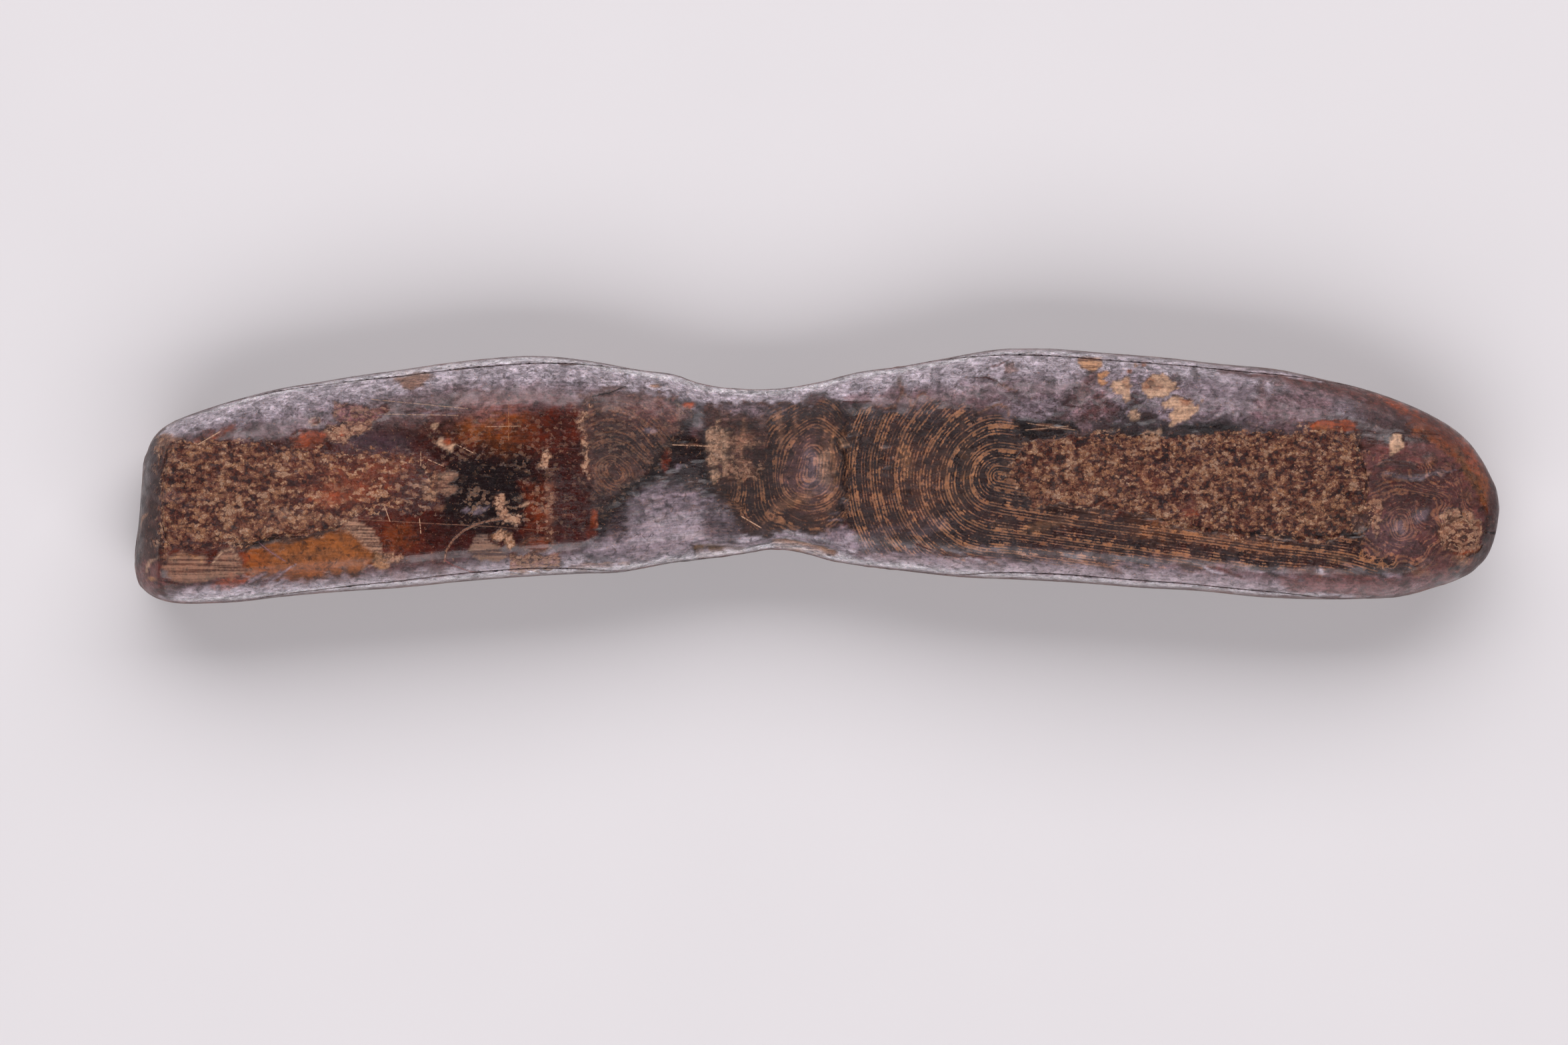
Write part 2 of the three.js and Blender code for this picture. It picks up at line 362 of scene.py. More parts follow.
class Area:
    """A part of the face that a mark covers."""

    def box(self) -> tuple[float, float, float, float]:
        """Least and greatest column, then least and greatest row, that it may reach."""
        raise NotImplementedError

    def mask(self, u: Array, v: Array) -> Array:
        """How much each place is in the area, from 0 to 1."""
        raise NotImplementedError


@dataclass(frozen=True)
class Patch(Area):
    """An area with a given outline, whose edge is soft and ragged by so many pixels."""

    outline: Points
    soft: float = 5.0
    ragged: float = 5.0
    lump: float = 14.0
    seed: int = 1

    def box(self) -> tuple[float, float, float, float]:
        """Least and greatest column, then least and greatest row, that it may reach."""
        return box_round(self.outline, self.soft + 2 * self.ragged)

    def inward(self, u: Array, v: Array) -> Array:
        """How many pixels inside the outline each place lies, below 0 outside it.

        Args:
            u: Pixel columns of the places.
            v: Their pixel rows.

        Returns:
            The distance of each place.
        """
        away = np.full(u.shape, np.inf)
        inside = np.zeros(u.shape, bool)
        for start, end in zip(self.outline, [*self.outline[1:], self.outline[0]]):
            away = np.minimum(away, to_segment(u, v, start, end)[1])
            (x0, y0), (x1, y1) = start, end
            if y1 != y0:
                inside ^= ((y0 > v) != (y1 > v)) & (u < x0 + (v - y0) * (x1 - x0) / (y1 - y0))
        return np.where(inside, away, -away)

    def mask(self, u: Array, v: Array) -> Array:
        """How much each place is in the patch, from 0 to 1.

        Args:
            u: Pixel columns of the places.
            v: Their pixel rows.

        Returns:
            The share at each place.
        """
        noise = Noise(self.seed)
        wander = self.ragged * noise.rough(3, u / self.lump, v / self.lump)
        fray = min(0.5 * self.soft, 7) * noise.rough(3, u / 13 + 70, v / 6)
        return ramp(self.inward(u, v) + wander + fray, -self.soft / 2, self.soft / 2)


@dataclass(frozen=True)
class Spot(Area):
    """An oval round a pixel, turned by so many degrees, and soft over a share of its size."""

    at: tuple[float, float]
    half: tuple[float, float]
    turn: float = 0.0
    soft: float = 0.6
    ragged: float = 0.0
    seed: int = 2

    def box(self) -> tuple[float, float, float, float]:
        """Least and greatest column, then least and greatest row, that it may reach."""
        reach = max(self.half) * (1.1 + self.soft / 2 + 2 * self.ragged)
        return self.at[0] - reach, self.at[0] + reach, self.at[1] - reach, self.at[1] + reach

    def mask(self, u: Array, v: Array) -> Array:
        """How much each place is in the oval, from 0 to 1.

        Args:
            u: Pixel columns of the places.
            v: Their pixel rows.

        Returns:
            The share at each place.
        """
        angle = math.radians(self.turn)
        du, dv = u - self.at[0], self.at[1] - v
        along = du * math.cos(angle) + dv * math.sin(angle)
        across = dv * math.cos(angle) - du * math.sin(angle)
        away = np.hypot(along / self.half[0], across / self.half[1])
        if self.ragged:
            lump = min(self.half) * 0.9
            away = away + self.ragged * Noise(self.seed).rough(3, u / lump, v / lump)
        away = away + 0.35 * self.soft * Noise(self.seed).rough(3, u / 11 + 70, v / 5)
        return ramp(away, 1 + self.soft / 2, 1 - self.soft / 2)


@dataclass(frozen=True)
class Streak(Area):
    """A band along an open line, so many pixels wide in its middle and thinner at its ends."""

    line: Points
    width: float = 4.0
    soft: float = 0.6
    wander: float = 0.0
    seed: int = 3

    def box(self) -> tuple[float, float, float, float]:
        """Least and greatest column, then least and greatest row, that it may reach."""
        return box_round(self.line, self.width + 2 + 2 * self.wander)

    def mask(self, u: Array, v: Array) -> Array:
        """How much each place is in the band, from 0 to 1.

        Args:
            u: Pixel columns of the places.
            v: Their pixel rows.

        Returns:
            The share at each place.
        """
        noise = Noise(self.seed)
        if self.wander:
            shift = self.wander * noise.rough(2, u / 13, v / 13)
            u, v = u + shift, v + self.wander * noise.rough(2, u / 13 + 50, v / 13)
        best, where = np.full(u.shape, np.inf), np.zeros(u.shape)
        count = len(self.line) - 1
        for i, (start, end) in enumerate(zip(self.line, self.line[1:])):
            share, away = to_segment(u, v, start, end)
            where = np.where(away < best, (i + share) / count, where)
            best = np.minimum(best, away)
        half = self.width / 2 * np.sqrt(np.clip(4 * where * (1 - where) + 0.06, 0, 1))
        return ramp(best, half * (1 + self.soft) + 0.4, half * (1 - self.soft) - 0.4)


@dataclass(frozen=True)
class Mark:
    """One thing that carving, wear, burial or a break has left on the face, or a sheen, highlight or shade
    painted on it.

    Args:
        area: The part of the face that it covers.
        stain: The colour there, or None to leave it.
        cover: How much of that colour shows.
        rise: How far the surface stands proud there, in millimetres, below 0 for a hollow.
        layers: What the mark sets each layer to.
    """

    area: Area
    stain: Swatch | None = None
    cover: float = 1.0
    rise: float = 0.0
    layers: dict[Layer, float] = field(default_factory=dict)

    def lay(self, canvas: Canvas) -> None:
        """Draws the mark on a canvas.

        Args:
            canvas: The canvas.
        """
        left, right, top, bottom = self.area.box()
        near = (canvas.u > left) & (canvas.u < right) & (canvas.v > top) & (canvas.v < bottom)
        if not near.any():
            return
        mask = self.area.mask(canvas.u[near], canvas.v[near])
        canvas.rise[near] += self.rise * mask
        if self.stain:
            cover = (mask * self.cover)[:, None]
            held = canvas.stain[near]
            canvas.stain[near] = held + (np.array(linear(self.stain.value)) - held) * cover
        # Darkens the colour along the sloping edge of a mark that stands proud or lies deep.
        if self.rise:
            edge_dark = np.minimum(abs(self.rise) * 8, 1) * 4 * mask * (1 - mask)
            canvas.stain[near] *= (1 - EDGE_DARKENING * edge_dark)[:, None]
        for layer, value in self.layers.items():
            held = canvas.layers[layer][near]
            canvas.layers[layer][near] = held + (value - held) * mask


@dataclass(frozen=True)
class Growth:
    """Growth lines of the tusk in one area, round a line or a point.

    Args:
        area: Where they show.
        axis: The line that they run round, in pixels.
        pitch: Pixels from one line to the next.
        strength: How clearly they show.
        squash: How much closer they lie along rows than along columns.
        waver: How far they wander, in lines.
        lump: Size of that wandering, in pixels.
    """

    area: Area
    axis: Points
    pitch: float = 4.5
    strength: float = 1.0
    squash: float = 1.0
    waver: float = 1.2
    lump: float = 40.0

    def lay(self, canvas: Canvas) -> None:
        """Draws the lines on a canvas.

        Args:
            canvas: The canvas.
        """
        mask = self.area.mask(canvas.u, canvas.v)
        u, v = canvas.u, canvas.v * self.squash
        start, end = ((x, y * self.squash) for x, y in self.axis)
        away = to_segment(u, v, start, end)[1]
        wander = self.waver * Noise(11).smooth(u / self.lump, v / self.lump)
        wander += 0.07 * self.waver * Noise(12).smooth(u / 17, v / 23)
        phase = away / self.pitch + wander
        canvas.phase = np.where(mask > 0.02, phase, canvas.phase)
        held = canvas.layers[LINES]
        canvas.layers[LINES] = held + (self.strength - held) * mask


# Outline of the bar seen from above: pixel column, and the row of its upper and lower edge.
UPPER_EDGE = (
    (201.6, 842), (203, 822), (208, 785), (212, 735), (214, 702), (220, 680), (226, 664),
    (238, 648), (256, 635), (300, 617), (360, 598), (420, 583), (480, 573), (540, 563), (600, 555),
    (660, 546), (720, 539), (790, 534), (840, 536), (900, 544), (960, 555), (1010, 562),
    (1050, 575), (1090, 582), (1170, 583), (1230, 573), (1290, 558), (1350, 550), (1410, 539),
    (1500, 524), (1580, 523.5), (1650, 529), (1740, 536), (1830, 546), (1920, 555), (1980, 568),
    (2040, 582), (2100, 602), (2150, 625), (2190, 651), (2214, 677), (2238, 719), (2246, 740),
    (2249.2, 762),
)
LOWER_EDGE = (
    (201.6, 844), (203, 856), (208, 875), (214, 883), (226, 893), (244, 901), (270, 905.5),
    (310, 905.5), (360, 903), (420, 896), (510, 888), (600, 882), (690, 873), (780, 866),
    (870, 861), (930, 859), (970, 852), (1010, 844.5), (1050, 840), (1110, 832), (1160, 824.5),
    (1200, 829), (1245, 841), (1290, 849), (1350, 856), (1440, 866), (1530, 870), (1620, 875),
    (1710, 882), (1800, 887), (1890, 896), (1980, 899.5), (2030, 899), (2100, 895), (2150, 882),
    (2190, 868), (2214, 853), (2238, 819), (2246, 788), (2249.2, 764),
)


@dataclass(frozen=True)
class BarForm:
    """The carved outside of the whole bar, before the tusk's layers are told apart.

    Heights are in millimetres over the ground, and places along the bar are frame X.
    """

    waist: float = -7.2
    right_reach: float = 102.0
    left_crown: float = 17.85
    right_crown: float = 18.6
    equator: float = 8.5
    belly_flat: float = 0.8
    far_shoulder: float = 8.5
    near_shoulder: float = 5.0
    seat: float = 15.1
    skim: float = 0.7
    seat_ends: tuple[float, float] = (-15.2, 3.2)
    seat_fade: float = 1.6
    ramps: tuple[float, float, float] = (5.0, 27.0, 33.0)
    groove: tuple[float, float, float] = (3.2, 2.0, 25.5)
    tip_run: float = 34.0
    tip_belly_run: float = 30.0
    tip_power: float = 2.4
    bevel_run: float = 3.9
    bevel_drop: float = 5.2
    heel_rise: float = 2.2
    end_run: float = 2.1
    end_line: Points = ((201.5, 852), (215.5, 692))

    def edges(self, x: Array) -> tuple[Array, Array]:
        """Frame Y of the bar's lower and upper edge at places along it.

        Args:
            x: Places along the bar, as frame X in millimetres.

        Returns:
            The lower edge's, then the upper edge's, in millimetres.
        """
        px = PHOTO.px(x)
        return (
            PHOTO.y_mm(curve_through(LOWER_EDGE, px)),
            PHOTO.y_mm(curve_through(UPPER_EDGE, px)),
        )

    def _tip(self, x: Array, run: float) -> Array:
        """Share of a height that is left at a place over the tip."""
        share = np.clip((x - self.waist - self.right_reach + run) / run, 0, 1)
        return np.sqrt(np.clip(1 - share**self.tip_power, 0, 1))

    def _from_end(self, x: Array, y: Array) -> Array:
        """Distance from the slanted line of the squared end.

        Args:
            x: Places along the bar, as frame X in millimetres.
            y: Places across it, as frame Y in millimetres.

        Returns:
            The distance in millimetres, below 0 past the end.
        """
        low, high = self.end_line
        share = (PHOTO.py(y) - high[1]) / (low[1] - high[1])
        return (PHOTO.px(x) - high[0] - share * (low[0] - high[0])) * PHOTO.scale

    def _end(self, x: Array, y: Array) -> Array:
        """Share of a height that is left where the squared end rounds over."""
        share = np.clip(1 - self._from_end(x, y) / self.end_run, 0, 1)
        return np.sqrt(np.clip(1 - share**4, 0, 1))

    def _bevel(self, x: Array, y: Array) -> Array:
        """How far into the bevel of the squared end a place lies, from 0 to 1."""
        return np.clip(1 - self._from_end(x, y) / self.bevel_run, 0, 1)

    def crown(self, x: Array) -> Array:
        """Height of the upper face along the middle of the bar, before its end is bevelled.

        Args:
            x: Places along the bar, as frame X in millimetres.

        Returns:
            The height in millimetres.
        """
        along = x - self.waist
        start, left, right = self.ramps
        rise = np.where(along < 0, ramp(-along, start, left), ramp(along, start, right))
        wing = np.where(along < 0, self.left_crown, self.right_crown)
        low = self.seat + self.skim
        return low + (wing - low) * rise

    def belly(self, x: Array) -> Array:
        """Depth of the underside below the widest line, along the middle of the bar.

        Args:
            x: Places along the bar, as frame X in millimetres.

        Returns:
            The depth in millimetres.
        """
        depth, start, end = self.groove
        groove = depth * (1 - ramp(np.abs(x - self.waist), start, end))
        return (self.equator + self.belly_flat - groove) * self._tip(x, self.tip_belly_run)

    @staticmethod
    def _shoulder(inward: Array, width: Array) -> Array:
        """A quarter-ellipse shoulder: 0 at the edge, 1 from its width inwards."""
        return np.sqrt(np.clip(1 - (1 - np.clip(inward / width, 0, 1)) ** 2, 0, 1))

    def face(self, x: Array, y: Array) -> Array:
        """Height of the upper face at places on it.

        Args:
            x: Places along the bar, as frame X in millimetres.
            y: Places across it, as frame Y in millimetres.

        Returns:
            The height in millimetres.
        """
        low, high = self.edges(x)
        half = np.maximum((high - low) / 2, 1e-3)
        far = self._shoulder(high - y, np.minimum(self.far_shoulder, half))
        near = self._shoulder(y - low, np.minimum(self.near_shoulder, half))
        level = self.crown(x) - self.bevel_drop * self._bevel(x, y) - self.equator
        level = level * self._tip(x, self.tip_run) * self._end(x, y)
        z = self.equator + level * far * near
        start, end = self.seat_ends
        fade = self.seat_fade
        seated = ramp(x, start - fade, start + fade) * ramp(x, end + fade, end - fade)
        return z - seated * np.maximum(z - self.seat, 0)

    def back(self, x: Array, y: Array) -> Array:
        """Height of the underside at places under the bar.

        Args:
            x: Places along the bar, as frame X in millimetres.
            y: Places across it, as frame Y in millimetres.

        Returns:
            The height in millimetres.
        """
        low, high = self.edges(x)
        half = np.maximum((high - low) / 2, 1e-3)
        across = np.clip((y - (low + high) / 2) / half, -1, 1)
        deep = (self.belly(x) - self.heel_rise * self._bevel(x, y) ** 2) * self._end(x, y)
        return np.maximum(self.equator - deep * np.sqrt(1 - across**2), 0)

    def section(self, x: Array, count: int) -> Array:
        """Closed sections, each from the lower edge over the top and back under the bar.

        Args:
            x: Where the sections stand.
            count: Points on each.

        Returns:
            One row of points for each place, in millimetres.
        """
        turn = np.linspace(0, 2 * math.pi, count, endpoint=False)[None, :]
        low, high = (edge[:, None] for edge in self.edges(x))
        along = np.broadcast_to(x[:, None], (len(x), count))
        y = (low + high) / 2 - (high - low) / 2 * np.cos(turn)
        over = np.broadcast_to(turn <= math.pi, y.shape)
        z = np.where(over, self.face(along, y), self.back(along, y))
        return np.stack([along, y, z], -1)


FORM = BarForm()


@dataclass(frozen=True)
class Tube:
    """The line between dentine and cementum: a round-bottomed trough along the whole bar."""

    left_half: float = 14.15
    right_half: float = 15.05
    level: float = 12.0
    depth: float = 10.2

    def share(self, points: Array, grown: float = 0.0) -> Array:
        """How far out the trough's wall lies on the line from a section's middle to a point.

        Args:
            points: Points of the bar's skin, in rows of one section.
            grown: How much wider the trough is taken.

        Returns:
            Distance of the wall as a share of the distance of the point.
        """
        low, high = FORM.edges(points[..., 0])
        y = points[..., 1] - (low + high) / 2
        z = points[..., 2] - FORM.equator
        along = points[..., 0] - FORM.waist
        half = np.where(along < 0, self.left_half, self.right_half) + grown
        deep, up = self.depth + grown, self.level - FORM.equator
        a = (y / half) ** 2 + (z / deep) ** 2
        b = -2 * z * up / deep**2
        c = (up / deep) ** 2 - 1
        round_share = (-b + np.sqrt(np.maximum(b * b - 4 * a * c, 0))) / np.maximum(2 * a, 1e-9)
        side_share = half / np.maximum(np.abs(y), 1e-6)
        return np.where(round_share * z < up, round_share, side_share)


TUBE = Tube()


def resample(rings: Array, weights: Array, count: int) -> Array:
    """Spaces the points of closed rings evenly by weighted length.

    Args:
        rings: Closed rings of points.
        weights: How closely points should stand at each point.
        count: Points wanted on each ring.

    Returns:
        The rings with their new points; each keeps its first.
    """
    closed = np.concatenate([rings, rings[:, :1]], 1)
    steps = np.linalg.norm(np.diff(closed, axis=1), axis=2) * weights + 1e-9
    lengths = np.concatenate([np.zeros((len(rings), 1)), np.cumsum(steps, 1)], 1)
    made = np.empty((len(rings), count, 3))
    for i, length in enumerate(lengths):
        wanted = np.linspace(0, length[-1], count, endpoint=False)
        for axis in range(3):
            made[i, :, axis] = np.interp(wanted, length, closed[i, :, axis])
    return made


def outward(rings: Array) -> Array:
    """Unit normals of the skin over a row of rings.

    Args:
        rings: The rings, in rising X, each from the -Y edge over the top.

    Returns:
        One normal for each point.
    """
    along = np.gradient(rings, axis=0)
    around = np.roll(rings, -1, 1) - np.roll(rings, 1, 1)
    normal = np.cross(along, around)
    length = np.linalg.norm(normal, axis=2, keepdims=True)
    return normal / np.maximum(length, 1e-9)


def select_none() -> None:
    """Deselects every object."""
    for other in bpy.context.scene.objects:
        other.select_set(False)


def only(piece: bpy.types.Object) -> None:
    """Selects one object and nothing else.

    Args:
        piece: The object.
    """
    select_none()
    piece.select_set(True)
    bpy.context.view_layer.objects.active = piece


@dataclass
class Skin:
    """A closed skin over a row of rings, drawn in to a point at each end."""

    name: str
    rings: Array

    def build(self) -> tuple[bpy.types.Object, Array]:
        """Shapes a sphere into the skin.

        Returns:
            The object, and for each of its vertices the place in the flattened rings of the point
            that it stands at.
        """
        stations, around = self.rings.shape[:2]
        select_none()
        bpy.ops.mesh.primitive_uv_sphere_add(segments=around, ring_count=stations + 1, radius=1)
        piece = bpy.context.object
        piece.name = piece.data.name = self.name
        count = len(piece.data.vertices)
        ball = np.empty(count * 3)
        piece.data.vertices.foreach_get("co", ball)
        ball = ball.reshape(-1, 3)
        turn = np.arctan2(ball[:, 1], ball[:, 0]) / (2 * math.pi)
        column = np.rint(turn * around).astype(int) % around
        lean = np.arctan2(np.hypot(ball[:, 0], ball[:, 1]), ball[:, 2])
        row = np.rint(lean / math.pi * (stations + 1)).astype(int)
        pole = (row == 0) | (row == stations + 1)
        row = np.clip(row - 1, 0, stations - 1)
        points = self.rings[row, column]
        for end in (0, stations - 1):
            points[pole & (row == end)] = self.rings[end].mean(0)
        piece.data.vertices.foreach_set("co", (points * MM).astype(np.float32).ravel())
        piece.data.update()
        only(piece)
        bpy.ops.object.mode_set(mode="EDIT")
        bpy.ops.mesh.select_all(action="SELECT")
        bpy.ops.mesh.normals_make_consistent(inside=False)
        bpy.ops.object.mode_set(mode="OBJECT")
        bpy.ops.object.shade_smooth()
        return piece, row * around + column


def keep(piece: bpy.types.Object, name: str, values: Array) -> None:
    """Stores one number or colour at each vertex of a piece.

    Args:
        piece: The piece.
        name: Name of the attribute.
        values: One number, or three, for each vertex.
    """
    if values.ndim == 1:
        held = piece.data.attributes.new(name, "FLOAT", "POINT")
        held.data.foreach_set("value", values.astype(np.float32))
        return
    held = piece.data.color_attributes.new(name, "FLOAT_COLOR", "POINT")
    four = np.concatenate([values, np.ones((len(values), 1))], 1)
    held.data.foreach_set("color", four.astype(np.float32).ravel())



def beside(edge: Points, first: int, last: int, down: float, right: float = 0.0) -> Points:
    """Part of an edge of the bar, moved by so many pixels.

    Args:
        edge: The edge's points.
        first: Index of the first point that is taken.
        last: Index past the last one.
        down: How many rows lower the points lie.
        right: How many columns further right.

    Returns:
        The moved points.
    """
    return tuple((x + right, y + down) for x, y in edge[first:last])


# Painted sheen: lilac, pale and mauve along both shoulders stand for the reflection of the lights on their
# slopes; the two patches also set the shoulders' dents.
SHOULDER_SHEEN = (
    Mark(
        Patch(
            (
                (225, 700), (250, 660), (300, 648), (380, 642), (470, 655), (560, 640), (640, 628),
                (720, 606), (800, 600), (880, 606), (960, 600), (1040, 612), (1100, 604),
                (1180, 606), (1262, 600), (1340, 590), (1420, 600), (1500, 622), (1600, 640),
                (1700, 640), (1800, 640), (1900, 640), (1990, 632), (2060, 640), (2140, 640),
                (2100, 590), (1980, 555), (1700, 515), (1500, 505), (1280, 545), (1100, 570),
                (800, 520), (500, 560), (300, 600), (215, 660),
            ),
            soft=44,
            ragged=9,
            lump=30,
        ),
        LILAC,
        0.6,
        layers={DENTS: 1.0},
    ),
    Mark(
        Patch(
            (
                (240, 890), (330, 886), (430, 874), (560, 858), (700, 846), (800, 838),
                (880, 816), (1000, 814), (1060, 812), (1170, 800), (1250, 812), (1330, 820),
                (1420, 832), (1540, 840), (1680, 846), (1800, 852), (1900, 872), (2040, 880),
                (2120, 872), (2170, 880), (2080, 915), (1800, 905), (1500, 885), (1150, 850),
                (900, 885), (500, 910), (240, 920),
            ),
            soft=34,
            ragged=7,
            lump=26,
        ),
        LILAC,
        0.7,
        layers={DENTS: 0.75},
    ),
    Mark(Streak(beside(UPPER_EDGE, 8, -9, 16), 62, 0.9, 5), LILAC, 0.85),
    Mark(Streak(beside(UPPER_EDGE, 8, -9, 18), 52, 0.9, 7), PALE, 0.8),
    Mark(Streak(beside(UPPER_EDGE, 8, -9, 62), 34, 0.9, 6), MAUVE, 0.5),
    Mark(Streak(beside(LOWER_EDGE, 6, -8, -44), 28, 0.9, 5), MAUVE, 0.55),
    Mark(Streak(beside(LOWER_EDGE, 6, -8, -14), 48, 0.9, 4), LILAC, 0.9),
    Mark(Streak(beside(LOWER_EDGE, 6, -8, -10), 40, 0.9, 5), PALE, 0.95),
)

LEFT_END = (
    Mark(
        Patch(
            ((190, 640), (252, 640), (249, 700), (247, 840), (255, 915), (190, 915)),
            soft=5,
            ragged=2,
        ),
        UMBER,
        0.85,
        layers={DENTS: 0.1, DULL: 0.6},
    ),
    Mark(Spot((222, 720), (16, 40), soft=1.0, ragged=0.3), SLATE, 0.3),
    Mark(Spot((226, 800), (14, 46), soft=1.0, ragged=0.3), TAUPE, 0.5),
    Mark(Spot((226, 868), (22, 26), soft=1.0, ragged=0.3), ROSE, 0.7),
    Mark(Patch(((237, 655), (262, 650), (276, 662), (270, 676), (246, 682), (236, 670)), 4, 4),
        BUFF, 0.9, layers={CHIP: 0.5, DULL: 0.6}),
    Mark(Streak(((219, 862), (230, 842), (243, 836)), 5, wander=3), CREAM, 0.7, layers={DULL: 0.6}),
    Mark(Spot((231, 868), (6, 4), ragged=0.4), GOLD, 0.9, layers={DULL: 0.6}),
    Mark(Streak(((212, 790), (217, 776), (226, 770)), 4, wander=2), GOLD, 0.6),
    Mark(Streak(((249, 672), (246, 740), (247, 800), (250, 876)), 5, wander=2), UMBER, 0.7, -0.12),
)

